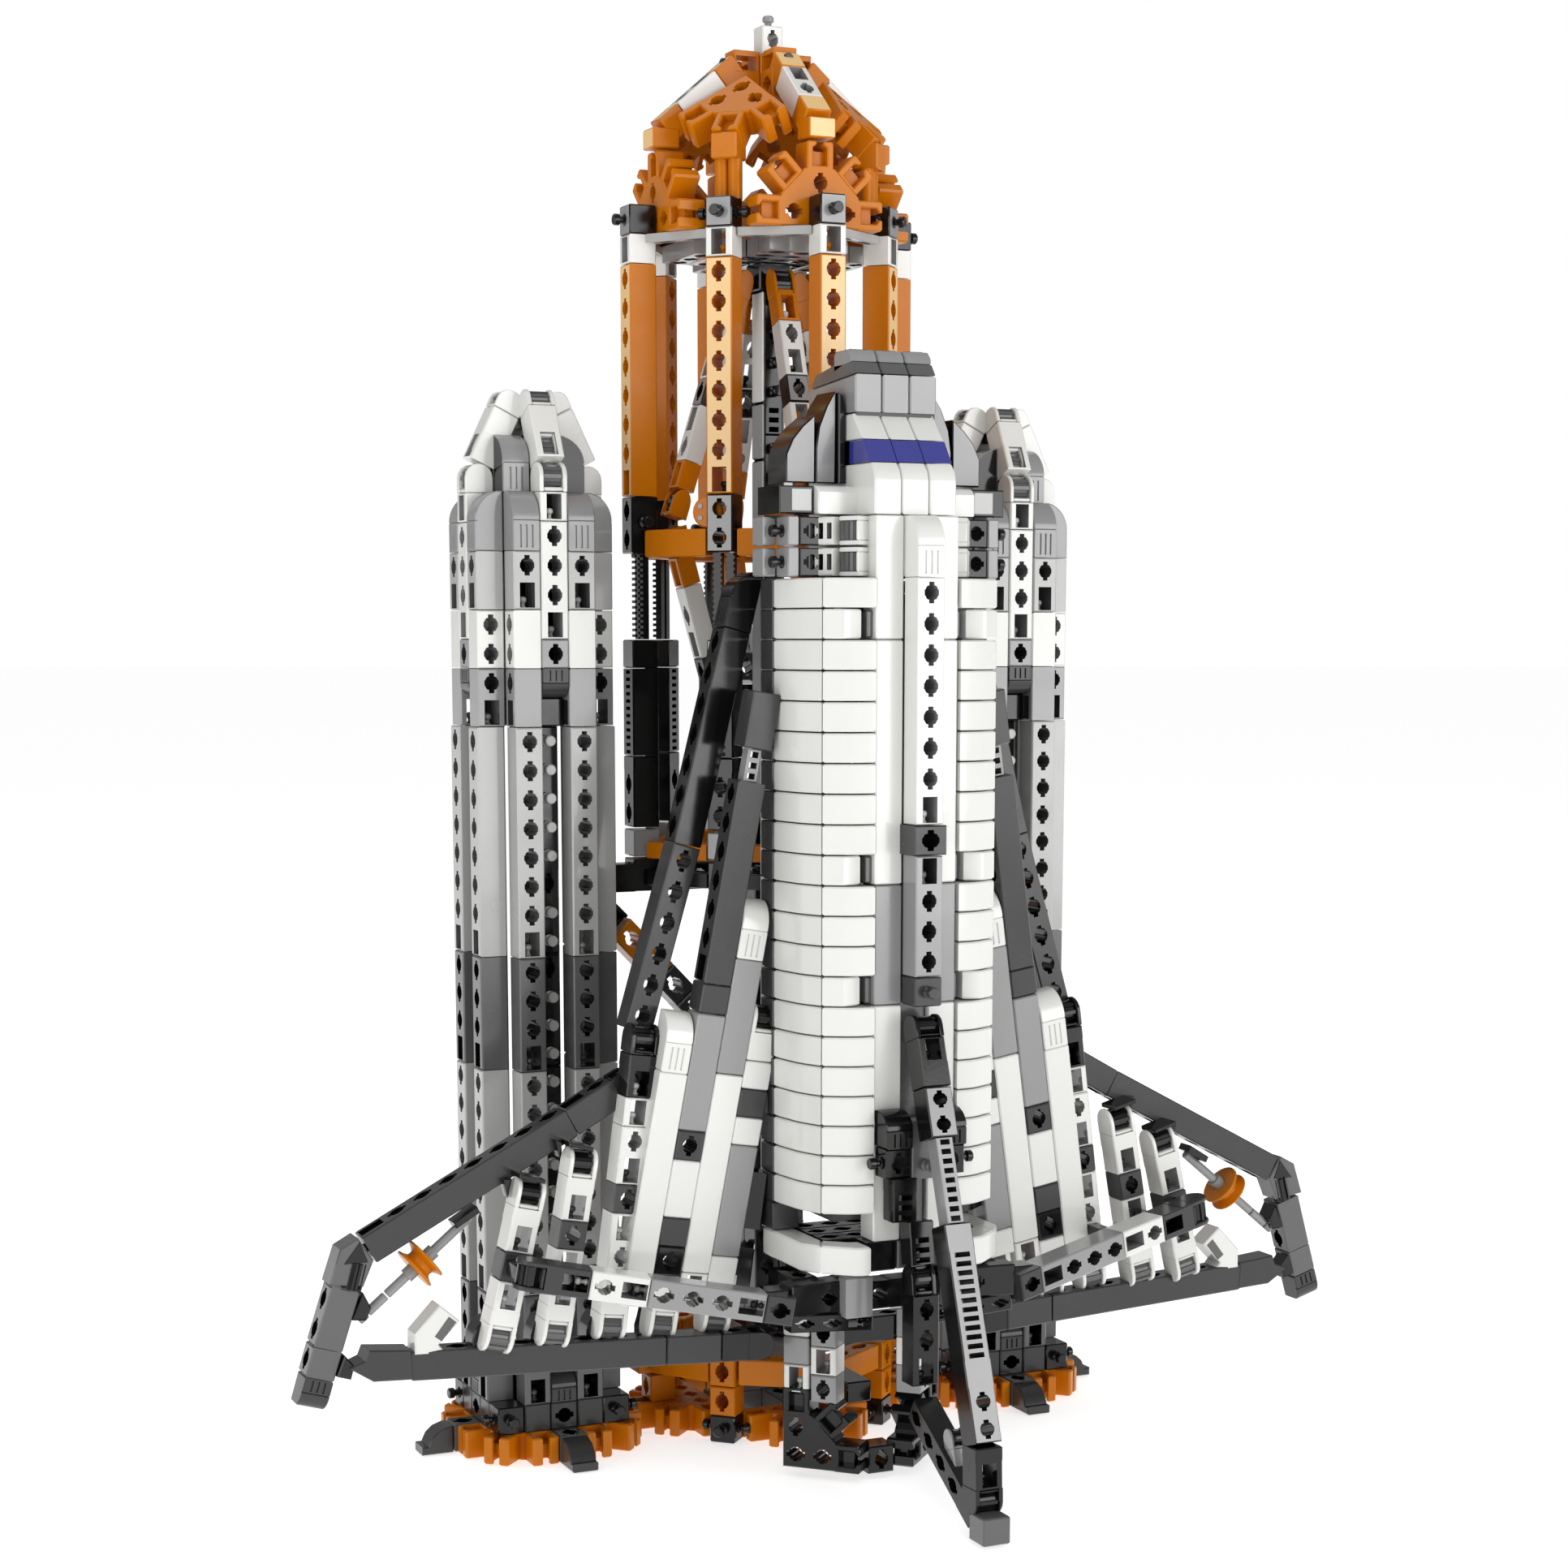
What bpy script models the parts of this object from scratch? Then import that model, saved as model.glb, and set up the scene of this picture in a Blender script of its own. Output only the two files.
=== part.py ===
"""Brick-built toy space shuttle stack: tank, two boosters and orbiter.

Everything is laid out in brick pitches (x right, y back, z up, front is -y) on the
grid that the bricks snap to, and turned into metres when a sub-part is finished.
"""
import math

import bpy
import bmesh
from mathutils import Matrix, Vector

pitch = 0.010                      # metres from one brick to the next
gap = 0.03                         # clearance between neighbouring bricks
half = 0.5 - gap / 2               # half of one brick
boosterX = 9.0                     # the boosters' axes, left and right of the tank
frontReach, backReach = -18.1, 6.0  # the fin's toe and the tank's toothed base
origin = (frontReach + backReach) / 2  # this y of the layout is the part's y = 0
baseTop = 1.97                     # top of the black booster frames

# Section heights of a booster, bottom to top.
boosterHeights = dict(disc=(0.0, 0.97), frame=(1.0, baseTop), lower=(2.0, 13.97), band=(14.0, 17.97),
                      upper=(18.0, 25.97), collar=(26.0, 31.97), dome=(32.0, 34.0), tip=37.5)
discRadius = 3.9
discRoot = 3.35
discTeeth = 16

# Tank columns: four on the axes and four on the diagonals, turned to face outwards.
axisRadius = 5.0
diagonalRadius = 3.0 * math.sqrt(2)
tankFace = -axisRadius - half - gap  # where the orbiter's links meet the tank's front column
tankHeights = dict(base=(0.0, 1.97), baseRing=(2.0, 3.2), stem=(3.23, 19.97), mid=(20.0, 31.97),
                   blocks=(32.0, 33.97), columns=(34.0, 41.97), ring=(42.0, 43.97))

# Orbiter: half outlines of its cross section, seen from above, on the left side.
orbiterBack = -6.6
panelOutline = [(-1.53, -12.15), (-2.3, -12.02), (-3.22, -11.5), (-3.55, -10.6), (-3.78, -9.4), (-3.78, -8.9),
                (-2.9, -8.9), (-2.9, -10.2), (-2.45, -10.9), (-1.53, -11.0)]
coreOutline = [(-1.5, -11.97), (-1.5, -10.97), (-2.42, -10.87), (-2.87, -10.17), (-2.87, -8.87),
               (-3.78, -8.87), (-3.78, -7.9), (-2.5, -7.9), (-2.5, orbiterBack)]
ringOutline = [(-1.85, -10.9), (-1.85, -12.6), (-2.4, -12.5), (-3.3, -11.7), (-3.8, -11.1), (-3.75, -8.0)]
panelRows = (10.02, 31.0)
bodyRows = (9.03, 30.97)
ringRows = (8.02, 9.0)

finishes = dict(
    orange=((0.83, 0.30, 0.02), 0.25), white=((0.86, 0.86, 0.84), 0.22), light=((0.62, 0.62, 0.62), 0.25),
    grey=((0.33, 0.33, 0.33), 0.28), dark=((0.10, 0.10, 0.10), 0.30), black=((0.018, 0.018, 0.018), 0.25),
    violet=((0.10, 0.06, 0.45), 0.12))


def clearScene():
    for thing in list(bpy.data.objects):
        bpy.data.objects.remove(thing, do_unlink=True)


def finish(name):
    """One plain plastic of a named colour."""
    found = bpy.data.materials.get(name)
    if found:
        return found
    colour, rough = finishes[name]
    made = bpy.data.materials.new(name)
    made.use_nodes = True
    shader = made.node_tree.nodes["Principled BSDF"]
    shader.inputs["Base Color"].default_value = (*colour, 1)
    shader.inputs["Roughness"].default_value = rough
    shader.inputs["Metallic"].default_value = 0
    return made


def place(mesh, matrix=None):
    """A scratch object in the working collection, with its matrix put into its mesh."""
    if matrix is not None:
        mesh.transform(matrix)
    thing = bpy.data.objects.new("shape", mesh)
    workshop.objects.link(thing)
    return thing


def box(low, high, matrix=None):
    """A block between two corners."""
    shape = bmesh.new()
    bmesh.ops.create_cube(shape, size=1)
    size = [h - l for l, h in zip(low, high)]
    middle = [(h + l) / 2 for l, h in zip(low, high)]
    bmesh.ops.scale(shape, vec=size, verts=shape.verts)
    bmesh.ops.translate(shape, vec=middle, verts=shape.verts)
    mesh = bpy.data.meshes.new("box")
    shape.to_mesh(mesh)
    shape.free()
    return place(mesh, matrix)


def frameOf(along, front):
    """Rotation whose x runs along, whose y points away from the front, and whose z is left over."""
    x = Vector(along).normalized()
    y = -Vector(front)
    y = (y - x * y.dot(x)).normalized()
    z = x.cross(y)
    return Matrix((x, y, z)).transposed().to_4x4()


def bar(start, end, front=(0, -1, 0), wide=2 * half, deep=2 * half):
    """A square bar whose middle line runs from start to end."""
    start, end = Vector(start), Vector(end)
    length = (end - start).length
    matrix = Matrix.Translation(start) @ frameOf(end - start, front)
    return box((0, -deep / 2, -wide / 2), (length, deep / 2, wide / 2), matrix)


def rod(start, end, radius, sides=12):
    """A round bar from start to end."""
    start, end = Vector(start), Vector(end)
    shape = bmesh.new()
    bmesh.ops.create_cone(shape, cap_ends=True, segments=sides, radius1=radius, radius2=radius,
                          depth=(end - start).length)
    mesh = bpy.data.meshes.new("rod")
    shape.to_mesh(mesh)
    shape.free()
    turn = (end - start).to_track_quat("Z", "Y").to_matrix().to_4x4()
    return place(mesh, Matrix.Translation((start + end) / 2) @ turn)


axisTurns = dict(
    z=Matrix.Identity(4),
    y=Matrix(((1, 0, 0, 0), (0, 0, -1, 0), (0, 1, 0, 0), (0, 0, 0, 1))),
    x=Matrix(((0, 0, 1, 0), (1, 0, 0, 0), (0, 1, 0, 0), (0, 0, 0, 1))))


def plate(points, low, high, axis="z", matrix=None):
    """A flat outline given thickness from low to high along an axis. Its points are (x, y) for z,
    (x, z) for y and (y, z) for x."""
    curve = bpy.data.curves.new("outline", "CURVE")
    curve.dimensions = "2D"
    curve.fill_mode = "BOTH"
    curve.extrude = (high - low) / 2
    line = curve.splines.new("POLY")
    line.points.add(len(points) - 1)
    for point, (u, v) in zip(line.points, points):
        point.co = (u, v, 0, 1)
    line.use_cyclic_u = True
    holder = bpy.data.objects.new("outline", curve)
    workshop.objects.link(holder)
    graph = bpy.context.evaluated_depsgraph_get()
    mesh = bpy.data.meshes.new_from_object(holder.evaluated_get(graph))
    bpy.data.objects.remove(holder, do_unlink=True)
    shape = bmesh.new()
    shape.from_mesh(mesh)
    bmesh.ops.remove_doubles(shape, verts=shape.verts, dist=1e-4)
    bmesh.ops.recalc_face_normals(shape, faces=shape.faces)
    shape.to_mesh(mesh)
    shape.free()
    middle = (high + low) / 2
    shift = Matrix.Translation((0, 0, middle if axis != "y" else -middle))
    full = axisTurns[axis] @ shift
    return place(mesh, matrix @ full if matrix is not None else full)


def turned(profile, centre, along, steps=24):
    """A closed profile of (radius, height) points turned round an axis through the centre."""
    mesh = bpy.data.meshes.new("profile")
    corners = [(r, 0, h) for r, h in profile]
    mesh.from_pydata(corners, [(i, (i + 1) % len(corners)) for i in range(len(corners))], [])
    holder = bpy.data.objects.new("profile", mesh)
    workshop.objects.link(holder)
    screw = holder.modifiers.new("turn", "SCREW")
    screw.steps = screw.render_steps = steps
    screw.use_merge_vertices = True
    screw.merge_threshold = 0.0001
    graph = bpy.context.evaluated_depsgraph_get()
    solid = bpy.data.meshes.new_from_object(holder.evaluated_get(graph))
    bpy.data.objects.remove(holder, do_unlink=True)
    shape = bmesh.new()
    shape.from_mesh(solid)
    bmesh.ops.recalc_face_normals(shape, faces=shape.faces)
    shape.to_mesh(solid)
    shape.free()
    turn = Vector(along).to_track_quat("Z", "Y").to_matrix().to_4x4()
    return place(solid, Matrix.Translation(centre) @ turn)


def toothed(outer, root, teeth):
    """A gear-like outline: flat teeth of equal width round a circle."""
    points = []
    for tooth in range(teeth):
        for share, radius in ((0.06, root), (0.14, outer), (0.5, outer), (0.58, root)):
            angle = 2 * math.pi * (tooth + share) / teeth
            points.append((radius * math.cos(angle), radius * math.sin(angle)))
    return points


def mirrored(points):
    """The outline's other half, in reverse, so that both make one loop."""
    return points + [(-x, y) for x, y in reversed(points)]


def fuse(name, shapes, colour, body=None):
    """Joins shapes that overlap into one closed solid, in metres, as a named sub-part."""
    first = shapes[0]
    for other in shapes[1:]:
        join = first.modifiers.new("join", "BOOLEAN")
        join.operation = "UNION"
        join.solver = "EXACT"
        join.object = other
    graph = bpy.context.evaluated_depsgraph_get()
    mesh = bpy.data.meshes.new_from_object(first.evaluated_get(graph))
    for shape in shapes:
        bpy.data.objects.remove(shape, do_unlink=True)
    tidy = bmesh.new()
    tidy.from_mesh(mesh)
    bmesh.ops.remove_doubles(tidy, verts=tidy.verts, dist=1e-3)
    bmesh.ops.triangulate(tidy, faces=tidy.faces)
    tidy.to_mesh(mesh)
    tidy.free()
    part = bpy.data.objects.new(name, mesh)
    mesh.name = name
    mesh.materials.clear()
    mesh.materials.append(finish(colour))
    shuttle.objects.link(part)
    if body is None:
        mesh.transform(Matrix.Scale(pitch, 4) @ Matrix.Translation((0, -origin, 0)))
    else:
        centre = Vector(body)
        mesh.transform(Matrix.Scale(pitch, 4) @ Matrix.Translation(-centre))
        part.location = (centre - Vector((0, origin, 0))) * pitch
    return part


def quarterTurns(count=4, offset=0.0):
    return [Matrix.Rotation(math.radians(offset + 360 * k / count), 4, "Z") for k in range(count)]


def shaftOutline():
    """Eight columns round a plus-shaped core: one quarter of the outline, turned four times."""
    near, far, edge, arm, recess = 0.515, 1.485, 2.485, 0.53, 1.9
    inner, outer = 1.515, 1.485
    quarter = [(-near, -recess), (near, -recess), (near, -edge), (far, -edge), (far, -inner), (arm, -inner),
               (arm, -arm), (inner, -arm), (inner, -outer), (edge, -outer), (edge, -near)]
    points = []
    for k in range(4):
        cos, sin = round(math.cos(k * math.pi / 2)), round(math.sin(k * math.pi / 2))
        points += [(x * cos - y * sin, x * sin + y * cos) for x, y in quarter]
    return points


def booster(side, tag):
    """One booster, standing on its toothed disc."""
    at = Matrix.Translation((side * boosterX, 0, 0))
    heights = boosterHeights
    foot = [(3.2, 0.0), (4.7, 0.0), (4.7, 0.35), (4.1, 0.9), (3.2, 0.9)]
    shapes = [plate(toothed(discRadius, discRoot, discTeeth), *heights["disc"], matrix=at)]
    for turn in quarterTurns():
        shapes.append(plate(foot, -half, half, "y", at @ turn))
    fuse("booster_disc_" + tag, shapes, "orange")
    low, high = heights["frame"]
    fuse("booster_frame_" + tag, [box((-2.485, -2.485, low), (2.485, 2.485, high), at)], "dark")
    for section, colour in (("lower", "light"), ("band", "grey"), ("upper", "light")):
        shape = plate(shaftOutline(), *heights[section], matrix=at)
        fuse("booster_" + section + "_" + tag, [shape], colour)
    cross = [(-1.485, -2.485), (1.485, -2.485), (1.485, -1.485), (2.485, -1.485), (2.485, 1.485),
             (1.485, 1.485), (1.485, 2.485), (-1.485, 2.485), (-1.485, 1.485), (-2.485, 1.485),
             (-2.485, -1.485), (-1.485, -1.485)]
    fuse("booster_collar_" + tag, [plate(cross, *heights["collar"], matrix=at)], "light")
    boosterDome(tag, at)
    boosterNose(tag, at)


def boosterDome(tag, at):
    """Curved bricks beside each centre column, round a square core that steps in."""
    low, high = boosterHeights["dome"]
    core = box((-1.45, -1.45, low), (1.45, 1.45, high), at)
    cap = plate([(-1.4, high - 0.1), (1.4, high - 0.1), (1.2, 34.8), (0.75, 35.4), (0.5, 35.5), (-0.5, 35.5),
                 (-0.75, 35.4), (-1.2, 34.8)], -1.0, 1.0, "y", at)
    shoulder = [(-2.485, low), (-1.3, low), (-1.3, high - 0.05), (-1.5, high - 0.05), (-2.1, 33.4),
                (-2.4, 32.8)]
    shapes = [core, cap]
    for turn in quarterTurns():
        for start in (-1.485, 0.53):
            shapes.append(plate(shoulder, start, start + 0.955, "x", at @ turn))
    fuse("booster_dome_" + tag, shapes, "grey")


def boosterNose(tag, at):
    """Four hinged columns that lean in to a common tip."""
    tip = boosterHeights["tip"]
    shapes = [box((-0.6, -0.6, 36.4), (0.6, 0.6, tip), at)]
    for turn in quarterTurns():
        shapes.append(box((-half, -2.485, 32.0), (half, -1.5, 34.9), at @ turn))
        shapes.append(rodAt(at @ turn, (-0.46, -1.95, 35.0), (0.46, -1.95, 35.0), 0.5))
        shapes.append(barAt(at @ turn, (0, -1.9, 35.1), (0, -0.75, 37.1), wide=0.9, deep=0.9))
    fuse("booster_nose_" + tag, shapes, "white")


def barAt(matrix, start, end, **options):
    thing = bar(start, end, **options)
    thing.data.transform(matrix)
    return thing


def rodAt(matrix, start, end, radius):
    thing = rod(start, end, radius)
    thing.data.transform(matrix)
    return thing


def columnPlaces():
    """Name, distance and turn of the eight tank columns, clockwise from the front seen from above."""
    names = ["front", "front_right", "right", "back_right", "back", "back_left", "left", "front_left"]
    return [(name, axisRadius if k % 2 == 0 else diagonalRadius, Matrix.Rotation(k * math.pi / 4, 4, "Z"))
            for k, name in enumerate(names)]


def columnBox(radius, turn, low, high, size=half):
    return box((-size, -radius - size, low), (size, -radius + size, high), turn)


def linkTo(face, start, low, high):
    """One of the three bricks that hold the orbiter to the tank's front column."""
    return box((-0.45, start, low), (0.45, face, high))


def ringThrough(size, low, high):
    """A flat ring of straight bars that joins the eight column places."""
    places = [turn @ Vector((0, -radius, 0)) for _, radius, turn in columnPlaces()]
    shapes = []
    for k, start in enumerate(places):
        end = places[(k + 1) % len(places)]
        middle = (low + high) / 2
        shapes.append(bar((start.x, start.y, middle), (end.x, end.y, middle), (0, 0, 1), size, high - low))
    return shapes


def tank():
    heights = tankHeights
    low, high = heights["base"]
    shapes = [plate(toothed(backReach, 5.3, 28), 1.03, high)]
    for name, radius, turn in columnPlaces():
        if name not in ("left", "right"):
            shapes.append(columnBox(radius, turn, low, high - 0.1))
    fuse("tank_base", shapes, "orange")
    low, high = heights["baseRing"]
    shapes = [columnBox(radius, turn, low, high) for _, radius, turn in columnPlaces()]
    shapes += ringThrough(0.9, 2.2, 3.1)
    shapes.append(bar((-4.8, 0, 2.7), (4.8, 0, 2.7)))
    fuse("tank_base_ring", shapes, "orange")
    low, high = heights["stem"]
    shapes = [box((-0.97, -0.97, low), (0.97, 0.97, high))]
    for side in (-1, 1):
        shapes.append(bar((side * 0.6, 0, 12.4), (side * 6.0, 0, 18.6)))
    fuse("tank_stem", shapes, "dark")
    low, high = heights["mid"]
    shapes = [box((-6.45, -half, low), (6.45, half, low + 0.97))]
    shapes.append(box((-half, -5.4, low), (half, 5.4, low + 0.97)))
    shapes.append(linkTo(-5.2, orbiterBack + gap, low + 0.15, low + 0.85))
    shapes += ringThrough(0.5, low + 0.1, low + 0.9)
    for _, radius, turn in columnPlaces():
        shapes.append(columnBox(radius, turn, low, 28.97))
        shapes.append(columnBox(radius, turn, 28.9, high, 0.22))
    fuse("tank_racks", shapes, "black")
    low, high = heights["blocks"]
    shapes = [columnBox(radius, turn, low, high) for _, radius, turn in columnPlaces()]
    shapes += ringThrough(0.6, 32.5, 33.5)
    fuse("tank_mid_ring", shapes, "orange")
    low, high = heights["columns"]
    for name, radius, turn in columnPlaces():
        fuse("tank_column_" + name, [columnBox(radius, turn, low, high)], "orange")
    low, high = heights["ring"]
    shapes = [columnBox(radius, turn, low, high) for _, radius, turn in columnPlaces()]
    shapes += ringThrough(0.9, low + 0.1, low + 0.9)
    shapes.append(box((-4.8, -1.5, low + 0.2), (4.8, 1.5, low + 0.8)))
    shapes.append(box((-1.5, -4.8, low + 0.2), (1.5, 4.8, low + 0.8)))
    fuse("tank_ring", shapes, "white")
    shapes = [box((-half, -half, 21.0), (half, half, 41.97))]
    for turn in quarterTurns():
        shapes.append(barAt(turn, (0, -0.3, 39.5), (0, -2.6, 35.2), front=(1, 0, 0), wide=0.9, deep=0.9))
        shapes.append(barAt(turn, (0, -2.5, 35.3), (0, -0.3, 30.5), front=(1, 0, 0), wide=0.84, deep=0.84))
    fuse("tank_core", shapes, "light")


def fanOutline(radius, slots=5, deep=0.9):
    """A half disc with slots from its rim, standing on its straight side."""
    points = [(-radius, 0), (radius, 0)]
    for k in range(slots):
        middle = math.pi * (k + 0.5) / slots
        for angle, r in ((middle - 0.16, radius), (middle - 0.13, radius - deep),
                         (middle + 0.13, radius - deep), (middle + 0.16, radius)):
            points.append((r * math.cos(angle), r * math.sin(angle)))
    return points


def tankTop():
    """Upright fans on the axes, leaning fans on the diagonals, a hub and the spire."""
    shapes = [box((-1.2, -1.2, 47.6), (1.2, 1.2, 48.8))]
    for turn in quarterTurns():
        shapes.append(plate(fanOutline(2.35), -half, half, "y", turn @ Matrix.Translation((0, -4.0, 43.25))))
        shapes.append(box((-1.4, -4.45, 42.94), (1.4, -3.55, 43.6), turn))
    for turn in quarterTurns(4, 45):
        lean = turn @ Matrix.Translation((0, -3.7, 44.3)) @ Matrix.Rotation(math.radians(-42), 4, "X")
        shapes.append(plate(fanOutline(2.3), -0.45, 0.45, "y", lean))
        shapes.append(box((-0.45, -0.45, 0.2), (0.45, 0.45, 4.9), lean))
    fuse("tank_dome", shapes, "orange")
    shapes = [box((-half, -half, 48.83), (half, half, 49.8)), rod((0, 0, 49.7), (0, 0, 50.4), 0.18),
              rod((0, 0, 50.3), (0, 0, 50.8), 0.3)]
    fuse("tank_spire", shapes, "grey")


def orbiterBody():
    for side, tag in ((1, "l"), (-1, "r")):
        points = [(side * x, y) for x, y in panelOutline]
        fuse("orbiter_panels_" + tag, [plate(points, *panelRows)], "white")
    fuse("orbiter_core", [plate(mirrored(coreOutline), *bodyRows)], "light")
    fuse("orbiter_ring", [plate(mirrored(ringOutline), *ringRows)], "white")
    cap = [(-12.0, 30.9), (-12.97, 30.9), (-12.9, 32.2), (-12.55, 32.9), (-12.0, 32.97)]
    shapes = [box((-half, -12.97, 17.0), (half, -12.0, 31.0)), plate(cap, -half, half, "x")]
    shapes.append(box((-0.62, -13.1, 22.0), (0.62, -12.1, 22.97)))
    fuse("orbiter_spine", shapes, "white")


def orbiterNose():
    nose = [(-6.7, 31.0), (-11.97, 31.0), (-11.97, 32.95), (-11.47, 33.05), (-10.88, 34.77), (-9.9, 34.77),
            (-9.9, 35.53), (-10.58, 35.53), (-10.1, 36.3), (-9.93, 36.4), (-9.5, 37.83), (-9.0, 38.5),
            (-7.6, 38.5), (-6.7, 37.0)]
    fuse("orbiter_nose", [plate(nose, -1.485, 1.485, "x"), linkTo(tankFace, -6.8, 32.55, 33.4)], "light")
    window = [(-9.93, 34.8), (-10.86, 34.8), (-10.61, 35.5), (-9.93, 35.5)]
    fuse("orbiter_window", [plate(window, -1.485, 1.485, "x")], "violet")
    for side, tag in ((1, "l"), (-1, "r")):
        curve = [(-1.515, 32.9), (-3.0, 32.9), (-3.0, 34.3), (-2.85, 35.2), (-2.4, 36.1), (-1.9, 36.6),
                 (-1.515, 36.7)]
        shapes = [plate([(side * x, z) for x, z in curve], -9.7, -6.8, "y")]
        low, high = sorted((side * -1.515, side * -3.45))
        shapes.append(box((low, -10.6, 31.03), (high, -7.9, 33.0)))
        fuse("orbiter_cheek_" + tag, shapes, "grey")


pinRadius, boreRadius = 0.25, 0.257
wing = dict(
    leadIn=(-8.75, 13.87), leadOut=(-17.6, 9.2), leadFace=-7.38,
    tipTop=(-18.37, 7.87), tipLow=(-19.28, 4.95), tipEnd=(-19.55, 4.05),
    trailOut=(-17.9, 5.2), trailIn=(-3.0, 5.0), trailMid=(-7.47, 5.0),
    strakeTop=(-4.0, 29.3), strakeLow=(-8.0, 16.0), strakeFace=-7.47,
    pulley=(-15.71, -6.9, 8.56), pulleyAxis=(-0.773, 0.0, -0.635), pulleyRadius=0.78, pulleyHalf=0.3,
    barInner=2.25, barOuter=2.7)
wingRods = [((-12.12, 11.2), (-13.39, 5.9)), ((-10.36, 12.15), (-11.4, 5.9)), ((-8.0, 15.6), (-9.5, 5.9))]
rodFace = -8.42
crossBar = ((-13.6, -9.3, 8.55), (-5.45, -11.13, 7.05))
ties = ((-12.9, -7.9), (-11.1, -7.9), (-9.2, -7.9), (-7.1, -8.73), (-5.8, -8.73))


def flat(points, face, low=None, thick=2 * half):
    """A plate in the wing's plane, its front at face."""
    return plate(points, face, face + thick, "y")


def side3(point, face, depth=half):
    """A point of the wing plane, in the middle of a brick whose front is at face."""
    return (point[0], face + depth, point[1])


def wingParts(tag, mirror):
    """One wing, worked out on the left and mirrored for the right."""
    face = wing["leadFace"]
    lead = bar(side3(wing["leadIn"], face), side3(wing["leadOut"], face))
    corner = bar(side3((-17.3, 9.36), face), side3((-18.6, 8.3), face))
    tip = bar(side3((-18.25, 8.3), face), side3(wing["tipLow"], face))
    tipEnd = bar(side3(wing["tipLow"], face), side3(wing["tipEnd"], face), deep=0.8, wide=0.9)
    trail = bar((-18.7, face + half, 5.25), (-16.0, face + half, 5.15), wide=0.9)
    trailTwo = bar((-16.3, face + half, 5.15), (-7.0, -8.42 + half + 0.05, 5.0), wide=0.9)
    trailThree = bar((-7.4, -7.9, 5.0), (-3.7, -8.25, 5.0), wide=0.9)
    shapes = [lead, corner, tip, tipEnd, trail, trailTwo, trailThree]
    centre, axis = Vector(wing["pulley"]), Vector(wing["pulleyAxis"]).normalized()
    room = wing["pulleyHalf"] + 0.05
    shapes.append(bar(centre - axis * wing["barInner"], centre - axis * room))
    shapes.append(bar(centre + axis * room, centre + axis * wing["barOuter"]))
    shapes.append(rod(centre - axis * 0.6, centre + axis * 0.6, pinRadius))
    shapes.append(bar((-7.9, -6.9, 14.6), (-9.2, -6.9, 13.65), wide=0.9, deep=0.9))
    wingPart("wing_frame_" + tag, shapes, "dark", mirror)
    shapes = [bar(*crossBar)]
    for top, low in wingRods:
        shapes.append(bar(side3(top, rodFace), side3(low, rodFace)))
    start, run = Vector(crossBar[0]), Vector(crossBar[1]) - Vector(crossBar[0])
    for x, back in ties:
        meet = start + run * ((x - start.x) / run.x)
        shapes.append(bar((x, back, meet.z), meet, front=(0, 0, 1), wide=0.5, deep=0.5))
    wingPart("wing_rods_" + tag, shapes, "white", mirror)
    shapes = [bar(side3(wing["strakeTop"], wing["strakeFace"]), side3(wing["strakeLow"], wing["strakeFace"]))]
    wingPart("wing_strake_" + tag, shapes, "dark", mirror)
    outline = [(-3.85, 5.75), (-7.85, 5.75), (-6.7, 15.0), (-6.5, 16.2), (-6.0, 16.6), (-5.75, 16.6),
               (-4.45, 27.3), (-3.85, 27.3)]
    wingPart("wing_panels_" + tag, [flat(outline, -8.7, thick=0.95)], "light", mirror)
    profile = wheelProfile()
    wheel = turned(profile, (0, 0, 0), axis)
    across = -1 if mirror else 1
    if mirror:
        wheel.data.transform(Matrix.Scale(-1, 4, (1, 0, 0)))
        wheel.data.flip_normals()
    wheel.data.transform(Matrix.Translation((across * centre.x, centre.y, centre.z)))
    fuse("pulley_" + tag, [wheel], "orange", body=(across * centre.x, centre.y, centre.z))


def wheelProfile():
    """The grooved pulley's section: bore, two flanges and the groove between them."""
    radius, wide = wing["pulleyRadius"], wing["pulleyHalf"]
    return [(boreRadius, -wide), (radius, -wide), (radius, -wide + 0.12), (radius - 0.24, -0.08), (radius - 0.24, 0.08),
            (radius, wide - 0.12), (radius, wide), (boreRadius, wide)]


def wingPart(name, shapes, colour, mirror):
    """Mirrors the shapes for the right wing before they are joined."""
    if mirror:
        for shape in shapes:
            shape.data.transform(Matrix.Scale(-1, 4, (1, 0, 0)))
            shape.data.flip_normals()
    fuse(name, shapes, colour)


def finParts():
    """The fin's front edge is a straight line that leans forward as it goes down."""
    top, foot = Vector((0, -12.95, 16.75)), Vector((0, -17.5, 3.4))
    along = (foot - top).normalized()
    inset = Vector((0, along.z, -along.y)) * -half
    arm = bar(top + inset, top + along * 4.2 + inset, front=(0, -1, 0))
    fuse("fin_arm", [arm], "dark")
    rack = bar(top + along * 4.23 + inset * 1.2, top + along * 7.1 + inset * 1.2, wide=0.8, deep=0.8)
    lower = bar(top + along * 7.0 + inset, foot + inset)
    fuse("fin_rod", [rack, lower], "light")
    hinge = bar(foot + inset + along * 0.12, (0, -17.6, 0.65))
    brace = bar((0, -17.3, 0.75), (0, -12.7, 3.45), wide=0.9, deep=0.9)
    toe = box((-half, frontReach, 0.1), (half, -17.15, 1.0))
    fuse("fin_foot", [hinge, brace, toe], "dark")
    shapes = [box((-1.485, -12.9, 10.4), (1.485, -12.2, 13.3)), box((-half, -13.0, 4.0), (half, -12.1, 10.5))]
    fuse("rudder", shapes, "black")


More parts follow.
